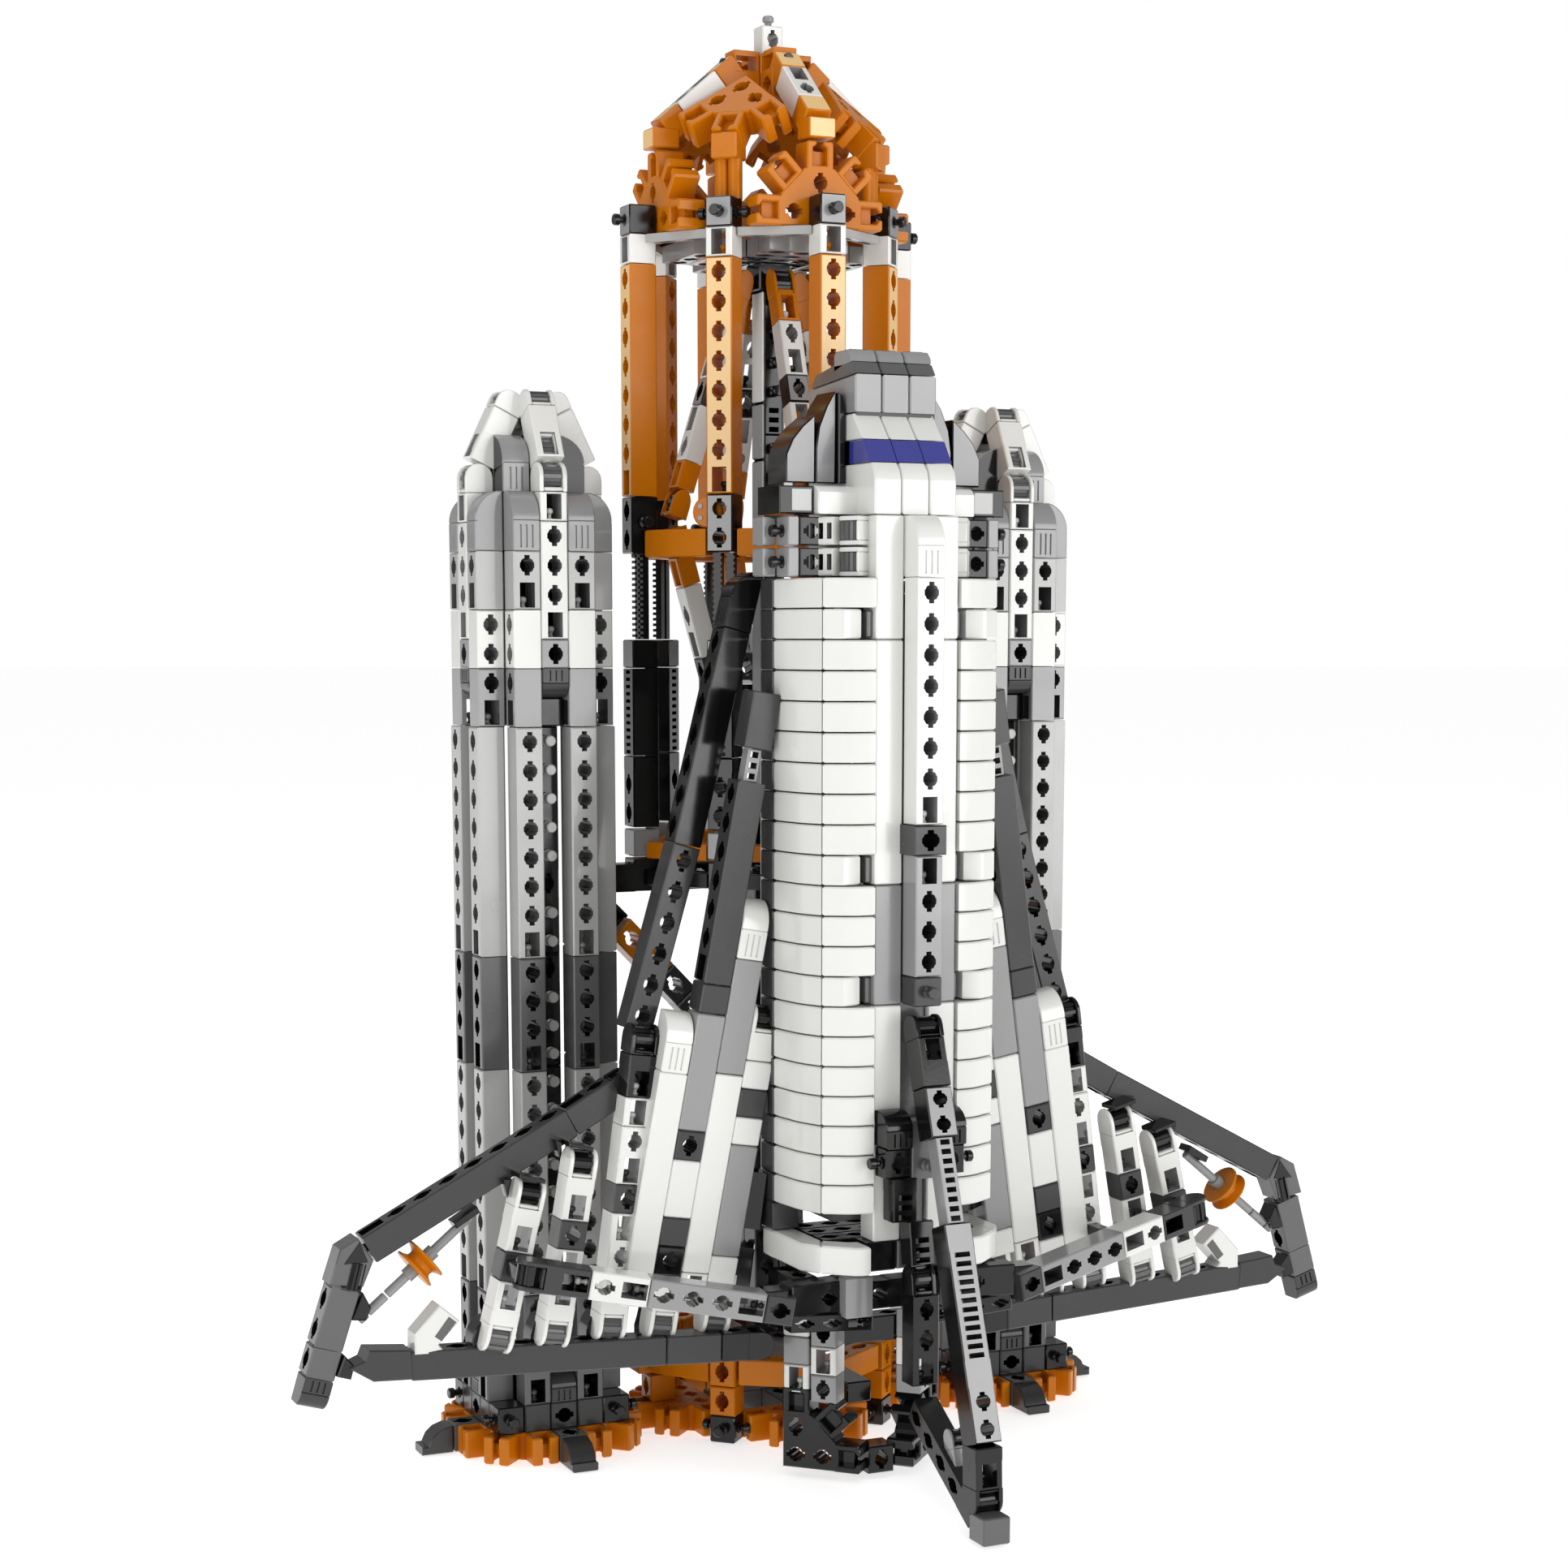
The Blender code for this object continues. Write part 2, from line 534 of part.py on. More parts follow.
def engines():
    shapes = [box((-5.1, -11.3, 6.0), (5.1, -10.4, 7.9)), box((-2.4, -11.9, 5.6), (2.4, -10.6, 7.0)),
              box((-3.6, -10.6, 6.2), (3.6, -8.6, 7.9))]
    fuse("engine_mount", shapes, "black")
    fan = [(0, 0), (2.9, 0), (2.9, 0.95), (2.1, 0.95), (2.6, 1.75), (1.85, 2.4), (0.97, 1.7), (0.97, 3.0), (0, 3.0)]
    shapes = []
    for side in (-1, 1):
        start = Vector((side * 3.14, -8.0, 0.25))
        run = Vector((-side * 0.7071, -0.7071, 0))
        inward = Vector((-side * 0.7071, 0.7071, 0))
        turn = Matrix((run, inward, Vector((0, 0, 1)))).transposed().to_4x4()
        piece = plate(fan, 0.0, 0.97, "y", Matrix.Translation(start) @ turn)
        if side == 1:
            piece.data.flip_normals()
        shapes.append(piece)
        shapes.append(box((0.0, 0.0, 3.0 - 0.1), (0.97, 0.97, 5.85), Matrix.Translation(start) @ turn)
                      if side == -1 else box((2.2, -8.6, 2.9), (3.1, -7.7, 5.95)))
    shapes.append(box((-0.6, -10.2, 0.25), (0.6, -8.9, 1.2)))
    shapes.append(box((-2.6, -8.6, 4.6), (2.6, -7.8, 5.5)))
    shapes.append(box((-0.4, -8.55, 2.25), (0.4, -7.85, 5.0)))
    shapes.append(linkTo(tankFace, -8.0, 2.3, 3.05))
    fuse("engine_fans", shapes, "black")


clearScene()
shuttle = bpy.data.collections.new("space_shuttle_stack")
bpy.context.scene.collection.children.link(shuttle)
workshop = bpy.data.collections.new("workshop")
bpy.context.scene.collection.children.link(workshop)
booster(-1, "l")
booster(1, "r")
tank()
tankTop()
orbiterBody()
orbiterNose()
wingParts("l", False)
wingParts("r", True)
finParts()
engines()
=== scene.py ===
import math

import bpy
import numpy as np
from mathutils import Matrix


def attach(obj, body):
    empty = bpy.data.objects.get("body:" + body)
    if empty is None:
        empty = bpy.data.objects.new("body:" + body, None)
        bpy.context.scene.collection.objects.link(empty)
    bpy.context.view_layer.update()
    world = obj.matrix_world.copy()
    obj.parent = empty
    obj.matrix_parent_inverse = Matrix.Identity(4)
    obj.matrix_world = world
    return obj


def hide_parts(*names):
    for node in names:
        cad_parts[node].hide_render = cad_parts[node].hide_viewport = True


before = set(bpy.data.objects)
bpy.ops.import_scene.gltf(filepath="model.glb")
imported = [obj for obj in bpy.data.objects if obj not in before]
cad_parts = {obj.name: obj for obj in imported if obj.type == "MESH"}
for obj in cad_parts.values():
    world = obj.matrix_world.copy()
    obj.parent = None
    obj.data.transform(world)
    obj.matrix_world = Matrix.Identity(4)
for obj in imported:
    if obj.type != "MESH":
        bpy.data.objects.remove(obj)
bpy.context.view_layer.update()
print("frame loaded")

# Everything is laid out in brick pitches: x right, y back, z up, the floor at 0.
layout = {"pitch": 0.010, "originY": -6.05, "seam": 0.016, "bevel": 0.045}
up, down, ahead = (0, 0, 1), (0, 0, -1), (0, -1, 0)   # ahead is towards the orbiter's side

# Camera: where the photograph was taken from, in pitches.
cameraSet = {"place": (-42.28, -95.12, 29.03), "yaw": 24.28, "pitch": -8.49, "roll": -0.02,
             "lens": 64.72, "shiftUp": 0.17557}


def toMetres(points):
    # the layout's point (x, y, z) becomes pitch * (x, y - originY, z)
    return (np.asarray(points, float) - (0, layout["originY"], 0)) * layout["pitch"]


def setCamera():
    data = bpy.data.cameras.new("camera")
    data.sensor_width = 36
    data.lens = cameraSet["lens"]
    data.shift_y = cameraSet["shiftUp"]
    data.clip_end = 50
    camera = bpy.data.objects.new("camera", data)
    camera.location = toMetres(cameraSet["place"])
    camera.rotation_euler = (math.radians(90 + cameraSet["pitch"]), math.radians(cameraSet["roll"]),
                             math.radians(-cameraSet["yaw"]))
    bpy.context.scene.collection.objects.link(camera)
    bpy.context.scene.camera = camera


# Colours of the plastics, how rough each one is, how strong its clear skin and its own reflection are.
plastics = {
    "o": ("orangePlastic", (0.58, 0.17, 0.002), 0.24, 0.0, 0.22),
    # c is orange painted lighter for the lit front faces of orange bricks: painted light, not a plastic of
    # its own
    "c": ("paintedLitOrangePlastic", (0.86, 0.56, 0.24), 0.19, 0.1, 0.4),
    "w": ("whitePlastic", (0.76, 0.76, 0.73), 0.17, 0.25, 0.5),
    "p": ("paleGreyPlastic", (0.42, 0.42, 0.41), 0.17, 0.3, 0.5),
    "l": ("lightGreyPlastic", (0.27, 0.27, 0.27), 0.17, 0.3, 0.5),
    "g": ("greyPlastic", (0.105, 0.105, 0.105), 0.18, 0.2, 0.4),
    "d": ("darkGreyPlastic", (0.042, 0.042, 0.042), 0.19, 0.0, 0.35),
    "k": ("blackPlastic", (0.005, 0.005, 0.005), 0.12, 0.0, 0.4),
    "v": ("clearBlue", (0.05, 0.06, 0.42), 0.05, 1.0, 0.5),
}
plasticOrder = list(plastics)


def moulding():
    # faint flow of the moulded colour, fingertip-dull patches and a very low orange-peel bump
    group = bpy.data.node_groups.new("moulding", "ShaderNodeTree")
    face = group.interface
    face.new_socket("Colour", in_out="INPUT", socket_type="NodeSocketColor")
    face.new_socket("Gloss", in_out="INPUT", socket_type="NodeSocketFloat")
    face.new_socket("Colour", in_out="OUTPUT", socket_type="NodeSocketColor")
    face.new_socket("Roughness", in_out="OUTPUT", socket_type="NodeSocketFloat")
    face.new_socket("Height", in_out="OUTPUT", socket_type="NodeSocketFloat")
    nodes, links = group.nodes, group.links
    start, end = nodes.new("NodeGroupInput"), nodes.new("NodeGroupOutput")
    place = nodes.new("ShaderNodeTexCoord")
    flow, patch, peel = (nodes.new("ShaderNodeTexNoise") for _ in range(3))
    for noise, scale, detail in ((flow, 24, 3), (patch, 60, 4), (peel, 900, 2)):
        noise.inputs["Scale"].default_value = scale
        noise.inputs["Detail"].default_value = detail
        links.new(place.outputs["Object"], noise.inputs["Vector"])
    tint = nodes.new("ShaderNodeMapRange")
    tint.inputs["To Min"].default_value, tint.inputs["To Max"].default_value = 0.94, 1.06
    links.new(flow.outputs["Fac"], tint.inputs["Value"])
    shade = nodes.new("ShaderNodeVectorMath")
    shade.operation = "SCALE"
    links.new(start.outputs["Colour"], shade.inputs[0])
    links.new(tint.outputs["Result"], shade.inputs["Scale"])
    links.new(shade.outputs["Vector"], end.inputs["Colour"])
    dull = nodes.new("ShaderNodeMapRange")
    dull.inputs["From Min"].default_value, dull.inputs["From Max"].default_value = 0.45, 0.75
    dull.inputs["To Min"].default_value, dull.inputs["To Max"].default_value = 0.0, 0.12
    links.new(patch.outputs["Fac"], dull.inputs["Value"])
    rough = nodes.new("ShaderNodeMath")
    rough.operation = "ADD"
    links.new(start.outputs["Gloss"], rough.inputs[0])
    links.new(dull.outputs["Result"], rough.inputs[1])
    links.new(rough.outputs["Value"], end.inputs["Roughness"])
    links.new(peel.outputs["Fac"], end.inputs["Height"])
    return group


def makePlastics():
    group = moulding()
    made = []
    for key in plasticOrder:
        name, colour, rough, skin, mirror = plastics[key]
        material = bpy.data.materials.new(name)
        material.use_nodes = True
        nodes, links = material.node_tree.nodes, material.node_tree.links
        shader = nodes["Principled BSDF"]
        effect = nodes.new("ShaderNodeGroup")
        effect.node_tree = group
        effect.inputs["Colour"].default_value = (*colour, 1)
        effect.inputs["Gloss"].default_value = rough
        bump = nodes.new("ShaderNodeBump")
        bump.inputs["Strength"].default_value = 0.03
        bump.inputs["Distance"].default_value = 0.0002
        links.new(effect.outputs["Colour"], shader.inputs["Base Color"])
        links.new(effect.outputs["Roughness"], shader.inputs["Roughness"])
        links.new(effect.outputs["Height"], bump.inputs["Height"])
        links.new(bump.outputs["Normal"], shader.inputs["Normal"])
        shader.inputs["IOR"].default_value = 1.52
        shader.inputs["Coat Roughness"].default_value = 0.04
        shader.inputs["Coat Weight"].default_value = skin
        shader.inputs["Specular IOR Level"].default_value = mirror
        if key == "v":
            shader.inputs["Transmission Weight"].default_value = 0.35
        made.append(material)
    return made


setCamera()
materials = makePlastics()
print("camera and plastics made")

# Shapes. Each one is (points, [(faces, colour or None)]), in pitches, its faces as index rows of one length.


def loft(loops, ring=False):
    # loops[i][j] joins loops[i][j+1], loops[i+1][j+1] and loops[i+1][j];
    # a ring joins its last loop to its first
    rows, cols = loops.shape[:2]
    i = np.arange(rows if ring else rows - 1)[:, None]
    j = np.arange(cols)[None]
    below, after = (i + 1) % rows, (j + 1) % cols
    corners = [i * cols + j, i * cols + after, below * cols + after, below * cols + j]
    quads = np.stack(corners, -1).reshape(-1, 4)
    return loops.reshape(-1, 3), quads


def outward(points, faces):
    # the signed volume of the fans from the origin tells which way the faces point
    volume = 0.0
    for rows in faces:
        first = points[rows[:, 0]]
        for k in range(1, rows.shape[1] - 1):
            volume += np.einsum("ij,ij->i", first, np.cross(points[rows[:, k]], points[rows[:, k + 1]])).sum()
    return faces if volume > 0 else [rows[:, ::-1] for rows in faces]


def solid(loops, ring=False, colour=None):
    points, quads = loft(loops, ring)
    faces = [quads]
    if not ring:
        count = loops.shape[1]
        last = (loops.shape[0] - 1) * count
        faces += [np.arange(count)[::-1][None], (last + np.arange(count))[None]]
    return points, [(rows, colour) for rows in outward(points, faces)]


def joined(*shapes):
    # several shapes as one, their indices counted on
    points, faces, count = [], [], 0
    for shape in shapes:
        points.append(shape[0])
        faces += [(rows + count, colour) for rows, colour in shape[1]]
        count += len(shape[0])
    return np.concatenate(points), faces


def moved(shape, offset=(0, 0, 0), rows=None, colour=None):
    points = shape[0] if rows is None else shape[0] @ np.asarray(rows, float)
    faces = shape[1]
    if rows is not None and np.linalg.det(np.asarray(rows, float)) < 0:
        faces = [(face[:, ::-1], own) for face, own in faces]
    if colour:
        faces = [(face, own or colour) for face, own in faces]
    return points + np.asarray(offset, float), faces


def inset(outline, amount):
    # each corner moves along the mean of its two edges' inward normals, over the cosine of half the turn
    points = np.asarray(outline, float)
    onward = np.roll(points, -1, 0) - points
    onward /= np.linalg.norm(onward, axis=1)[:, None]
    behind = np.roll(onward, 1, 0)
    area = np.sum(points[:, 0] * np.roll(points[:, 1], -1) - np.roll(points[:, 0], -1) * points[:, 1])
    side = 1.0 if area > 0 else -1.0
    one = side * np.stack([-onward[:, 1], onward[:, 0]], 1)
    two = side * np.stack([-behind[:, 1], behind[:, 0]], 1)
    mean = one + two
    mean /= np.maximum(np.sum(mean * mean, 1)[:, None] / 2, 0.5)
    return points + mean * amount


def plate(outline, low, high, bevel=None, colour=None):
    # a flat outline carried from low to high, its rims cut back at 45 degrees
    bevel = layout["bevel"] if bevel is None else bevel
    whole, less = np.asarray(outline, float), inset(outline, bevel)
    levels = [(less, low), (whole, low + bevel), (whole, high - bevel), (less, high)]
    loops = np.stack([np.column_stack([flat, np.full(len(flat), level)]) for flat, level in levels])
    return solid(loops, colour=colour)


def turned(profile, sides=16, colour=None, closed=False):
    # (radius, height) points carried round the height's axis
    angle = np.arange(sides) * 2 * math.pi / sides
    profile = np.asarray(profile, float)
    loops = np.stack([profile[:, :1] * np.cos(angle), profile[:, :1] * np.sin(angle),
                      np.repeat(profile[:, 1:], sides, 1)], -1)
    return solid(loops, ring=closed, colour=colour)


def crossHole():
    # a squarish round hole with a wide notch at both ends, mirrored from one quarter
    quarter = np.array([(.345, .095), (.23, .095), (.215, .165), (.15, .215), (.105, .225), (.09, .26)])
    over = quarter[::-1] * (-1, 1)
    return np.concatenate([quarter, over, quarter * (-1, -1), over * (-1, -1)])


def boxHole(left, right, half):
    return np.array([(right, half), (left, half), (left, -half), (right, -half)])


def ringCell(hole, sides, length=1.0):
    # four square rims from front to back, then the hole's rim at the front and at the back;
    # the front and the back are two flat faces each, which meet at the hole's first and middle corners
    seam, bevel, count = layout["seam"], layout["bevel"], len(hole)
    low, high = np.array([sides[0], sides[2]]), np.array([sides[1], sides[3]])
    corners = np.array([(1, 1), (0, 1), (0, 0), (1, 0)])

    def rim(cut, w):
        a = -0.5 + seam * (low > 0) + cut * low
        b = 0.5 - seam * (high > 0) - cut * high
        return np.column_stack([a + corners * (b - a), np.full(4, w)])
    rims = [rim(bevel, .5), rim(0, .5 - bevel), rim(0, bevel - .5), rim(bevel, -.5)]
    rims += [np.column_stack([hole, np.full(count, level)]) for level in (.5, -.5)]
    points = np.concatenate(rims)
    points[:, 0] = (points[:, 0] + 0.5) * length
    i, j, half = np.arange(4), np.arange(count), count // 2
    k = np.arange(3)[:, None] * 4
    bands = np.stack([(i + 1) % 4 + k, i + k, i + k + 4, (i + 1) % 4 + k + 4], -1).reshape(-1, 4)
    after = (j + 1) % count
    wall = 16 + np.stack([j, after, after + count, j + count], 1)
    upper = [0, 1, 2, *(16 + np.arange(half, -1, -1))]
    lower = [2, 3, 0, 16, *(16 + np.arange(count - 1, half - 1, -1))]
    front = np.array([upper, lower])
    back = np.where(front < 16, front + 12, front + count)[:, ::-1]
    sides, inner, near, far = outward(points, [bands, wall, front, back])
    return points, [(sides, None), (inner, "inside"), (near, None), (far, None)]


def paintFrontLight(shape, front, rest):
    # painted light: faces that lie in the front plane take one colour, all others another; the front colour
    # stands in for the light or a lamp's reflection falling on the front
    points, top = shape[0], shape[0][:, 2].max() - .001
    faces = []
    for rows, own in shape[1]:
        flat = (points[rows][..., 2] > top).all(1)
        parts = ((flat, front), (~flat, rest))
        faces += [(rows[part], own or colour) for part, colour in parts if part.any()]
    return points, faces


def block(length, wide=1.0, deep=1.0, low=True, high=True):
    # an eight-sided loop, its corners cut by the bevel, carried along the block
    seam, bevel = layout["seam"], layout["bevel"]

    def loop(u, cut):
        a, b = wide / 2 - cut, deep / 2 - cut
        c = bevel if cut == 0 else bevel * 0.6
        return [(u, a, b - c), (u, a - c, b), (u, -a + c, b), (u, -a, b - c),
                (u, -a, -b + c), (u, -a + c, -b), (u, a - c, -b), (u, a, -b + c)]
    start = [loop(seam, bevel), loop(seam + bevel, 0)] if low else [loop(0, 0)]
    end = [loop(length - seam - bevel, 0), loop(length - seam, bevel)] if high else [loop(length, 0)]
    return solid(np.array(start + end, float))


def pegShape():
    # a neck and a flared, flat-ended head, standing out of the face at w = 0.5
    return turned([(.21, .49), (.21, .52), (.12, .58), (.12, .66), (.2, .72), (.2, .88), (.165, .92)], 12)


def slotPeg():
    # the small knob of the next brick, seen in the slot, standing along the run
    knob = turned([(.17, -.02), (.13, .06), (.07, .14), (.07, .22), (.13, .3), (.13, .4), (.07, .45)], 10)
    return moved(knob, rows=[(0, 0, 1), (0, 1, 0), (-1, 0, 0)])


def sided(shape, colour):
    # the two flat ends of a carried outline in a colour of their own
    return shape[0], shape[1][:-2] + [(rows, colour) for rows, _ in shape[1][-2:]]


def fluted(radius, depth, low, high, colour="k", flutes=9):
    # a roller whose radius steps in and out round its axis, four points to each flute
    angle = (np.arange(flutes)[:, None] + np.array([0, .42, .5, .92])).reshape(-1) * 2 * math.pi / flutes
    reach = np.tile([radius, radius, radius - depth, radius - depth], flutes)
    flat = np.column_stack([reach * np.cos(angle), reach * np.sin(angle)])
    loops = np.stack([np.column_stack([flat * scale, np.full(len(flat), level)])
                      for level, scale in ((low, .9), (low + .03, 1), (high - .03, 1), (high, .9))])
    return solid(loops, colour=colour)


def knuckle(roller="k"):
    # two thin rounded cheeks with a fluted roller between them
    arc = [(0.5 + 0.5 * math.cos(a), 0.5 * math.sin(a)) for a in np.radians(np.linspace(-90, 90, 9))]
    cheek = [(0, .5), (0, -.5), *arc]
    ends = []
    for low, high in ((.35, .5), (-.5, -.35)):
        side = plate(cheek, low, high, 0.03)
        ends.append(moved(side, rows=[(1, 0, 0), (0, 0, 1), (0, 1, 0)]))
    wheel = moved(fluted(.43, .07, -.35, .35, roller), (.5, 0, 0), rows=[(1, 0, 0), (0, 0, 1), (0, 1, 0)])
    back = block(.16, .7, .96)
    return joined(*ends, wheel, back)


def ribbedSlope(height=2.0, foot=1.0):
    # profile of (out, up): a straight front with three grooves, a seam, then a curve back to the top
    half = height / 2
    bend = np.radians(np.linspace(0, 78, 9))
    arc = [(0.5 - foot * (1 - math.cos(a)), half + .02 + (half - .02) * math.sin(a)) for a in bend]
    outline = np.array([(-0.5, 0.0), (0.5, 0.0), (.5, .1 * half), (.5, .13 * half), (.5, .82 * half),
                        (.5, .85 * half), (.5, half - .02), (.46, half - .01), *arc, (-0.5, arc[-1][1])])
    outline[:, 0] = np.maximum(outline[:, 0], -0.5)
    cutIn = outline.copy()
    cutIn[3:5, 0] -= .06
    levels = [(-.485, inset(outline, .04)), (-.45, outline)]
    groove = ((-.035, outline), (-.02, cutIn), (.02, cutIn), (.035, outline))
    for middle in (-.21, 0, .21):
        levels += [(middle + step, flat) for step, flat in groove]
    levels += [(.45, outline), (.485, inset(outline, .04))]
    loops = np.stack([np.column_stack([flat, np.full(len(flat), v)]) for v, flat in levels])
    return moved(solid(loops), rows=[(0, 0, 1), (1, 0, 0), (0, 1, 0)])   # up along u, across v, out along w


# Each kind of unit: its hole and its length; a hinge has only its roller's colour.
unitSet = {"h": (crossHole(), 1), "s": (boxHole(-.42, .43, .27), 1), "t": (boxHole(-.28, .28, .28), 1 / 3),
           "f": (boxHole(-.24, .24, .2), 1 / 4), "k": "k", "r": "g"}
cells = {}


def cell(kind, sides):
    # one brick unit of a kind, made once for each set of bevelled sides
    key = (kind, sides)
    if key not in cells:
        if kind in "kr":
            cells[key] = knuckle(unitSet[kind])
        else:
            hole, length = unitSet[kind]
            cells[key] = ringCell(hole, sides, length)
    return cells[key]


def axesOf(along, front):
    # rows of a frame: along the run, across it, and out of its front
    u = np.asarray(along, float)
    u = u / np.linalg.norm(u)
    w = np.asarray(front, float)
    w = w - u * (w @ u)
    w = w / np.linalg.norm(w)
    return np.array([u, np.cross(w, u), w])


stock = {}
# painted light on front faces: x and y paint a lamp's reflection on the fronts of black bricks, z paints the
# lit fronts of orange ones
paintedFrontLight = {"x": ("l", "k"), "y": ("d", "k"), "z": ("c", "o")}   # front, rest
# painted shade: the walls of holes and slots take a darker plastic than their brick
paintedHoleShade = {"w": "l", "p": "g", "l": "d", "g": "k", "d": "k"}   # the walls of holes and slots


def put(piece, shape, origin=(0, 0, 0), rows=None, colour="l"):
    points, faces = moved(shape, origin, rows, colour)
    # hole and slot walls get the darker plastic: painted shade inside the holes
    faces = [(face, paintedHoleShade.get(colour, colour) if own == "inside" else own) for face, own in faces]
    stock.setdefault(piece, []).append((points, faces))


def run(piece, start, along, front, words, size=(1, 1), stretch=1.0):
    # bricks one after another; each word is a colour, a dot and its units: h hole, s slot with the next
    # brick's knob, b peg on the front (B a pale one), k or r hinge (K or R turned round), t three and
    # f four small slots, a digit for plain units, q half a plain one; x, y and z have a front of
    # another colour, which is painted light: x and y a lamp's painted reflection on black bricks, z a
    # painted lit face on orange ones; a last word with no units only colours the knob before it
    rows = axesOf(along, front)
    scale = np.array([[stretch], [size[0]], [size[1]]])
    words = words.split()
    at = 0.0
    for number, word in enumerate(words):
        colour, units = word.split(".")
        # the front colour is painted light, the rest colour is the brick's own
        paintedFront, rest = paintedFrontLight.get(colour, (None, colour))
        colour = rest
        after = words[number + 1][0] if number + 1 < len(words) else colour
        for place, unit in enumerate(units):
            first, final = place == 0, place == len(units) - 1
            origin = np.asarray(start, float) + rows[0] * at * stretch
            length = int(unit) if unit.isdigit() else .5 if unit == "q" else 1
            if unit in "hstf":
                parts = {"t": 3, "f": 4}.get(unit, 1)
                for part in range(parts):
                    shape = cell(unit, (int(first and part == 0), int(final and part == parts - 1), 1, 1))
                    shape = paintFrontLight(shape, paintedFront, rest) if paintedFront else shape
                    put(piece, shape, origin + rows[0] * part / parts * stretch, rows * scale, colour)
            elif unit in "kr":
                put(piece, cell(unit, (1, 1, 1, 1)), origin, rows * scale, colour)
            elif unit in "KR":
                flip = rows * scale * np.array([[-1], [-1], [1]])
                put(piece, cell(unit.lower(), (1, 1, 1, 1)), origin + rows[0] * stretch, flip, colour)
            else:
                shape = block(length, low=first, high=final)
                put(piece, paintFrontLight(shape, paintedFront, rest) if paintedFront else shape, origin, rows * scale, colour)
                if unit in "bB":
                    peg = colour if unit == "b" else "p"
                    put(piece, pegShape(), origin + rows[0] * 0.5 * stretch, rows, peg)
            if unit == "s":
                put(piece, slotPeg(), origin + rows[0] * stretch, rows, paintedFrontLight.get(after, (0, after))[1])
            at += length


def spin(degrees):
    c, s = math.cos(math.radians(degrees)), math.sin(math.radians(degrees))
    return np.array([(c, s, 0), (-s, c, 0), (0, 0, 1)])


def around(vector, degrees):
    return np.asarray(vector, float) @ spin(degrees)


def quarters():
    # the four sides of a square plan: number, outward way, and the way along that side
    for k in range(4):
        yield k, around(ahead, 90 * k), around((1, 0, 0), 90 * k)


def reflected(piece, other):
    # x changes sign and every face is turned over
    for points, faces in stock[piece]:
        flip = points * (-1, 1, 1)
        stock.setdefault(other, []).append((flip, [(rows[:, ::-1], own) for rows, own in faces]))


def shift(piece, offset):
    stock[piece] = [(points + offset, faces) for points, faces in stock[piece]]


def nodeOf(name):
    # the CAD node that a piece replaces: orbiterPanelsL becomes orbiter_panels_l
    return "".join("_" + letter.lower() if letter.isupper() else letter for letter in name)


def finishPiece(name, main, body="stack"):
    # the piece's points and faces in one mesh, flat faces kept flat and round ones smooth
    nodes = [nodeOf(name)]
    points, rows, owners, count = [], {}, {}, 0
    for shapePoints, faces in stock[name]:
        points.append(shapePoints)
        for face, colour in faces:
            rows.setdefault(face.shape[1], []).append(face + count)
            index = plasticOrder.index(colour or main)
            owners.setdefault(face.shape[1], []).append(np.full(len(face), index))
        count += len(shapePoints)
    corners = np.concatenate([np.concatenate(rows[k]).reshape(-1) for k in rows])
    sizes = np.concatenate([np.full(sum(len(r) for r in rows[k]), k) for k in rows])
    colours = np.concatenate([np.concatenate(owners[k]) for k in rows])
    used = sorted(set(colours.tolist()))
    mesh = bpy.data.meshes.new(name)
    mesh.vertices.add(count)
    mesh.vertices.foreach_set("co", toMetres(np.concatenate(points)).astype(np.float32).reshape(-1))
    mesh.loops.add(len(corners))
    mesh.loops.foreach_set("vertex_index", corners.astype(np.int32))
    mesh.polygons.add(len(sizes))
    mesh.polygons.foreach_set("loop_start", (np.cumsum(sizes) - sizes).astype(np.int32))
    for index in used:
        mesh.materials.append(materials[index])
    mesh.polygons.foreach_set("material_index", np.searchsorted(used, colours).astype(np.int32))
    mesh.update(calc_edges=True)
    mesh.validate()
    mesh.shade_smooth()
    mesh.set_sharp_from_angle(angle=math.radians(33))
    piece = bpy.data.objects.new(name, mesh)
    bpy.context.scene.collection.objects.link(piece)
    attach(piece, body)
    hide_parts(*nodes)


def finishPair(name, main):
    # the left piece and its mirror image
    reflected(name + "L", name + "R")
    finishPiece(name + "L", main)
    finishPiece(name + "R", main)


def arm():
    # a fan's arm, from its web out to a forked end, as (along, across), with a thin web in its slot
    half = [(-.045, .5), (.84, .5), (.91, .43), (.91, .14), (.8, .12), (.68, .27), (.1, .27)]
    outline = half + [(u, -v) for u, v in reversed(half)]
    web = [(.05, .29), (.6, .29), (.6, -.29), (.05, -.29)]
    return joined(plate(outline, -.5, .5), plate(web, -.18, .18, .01))


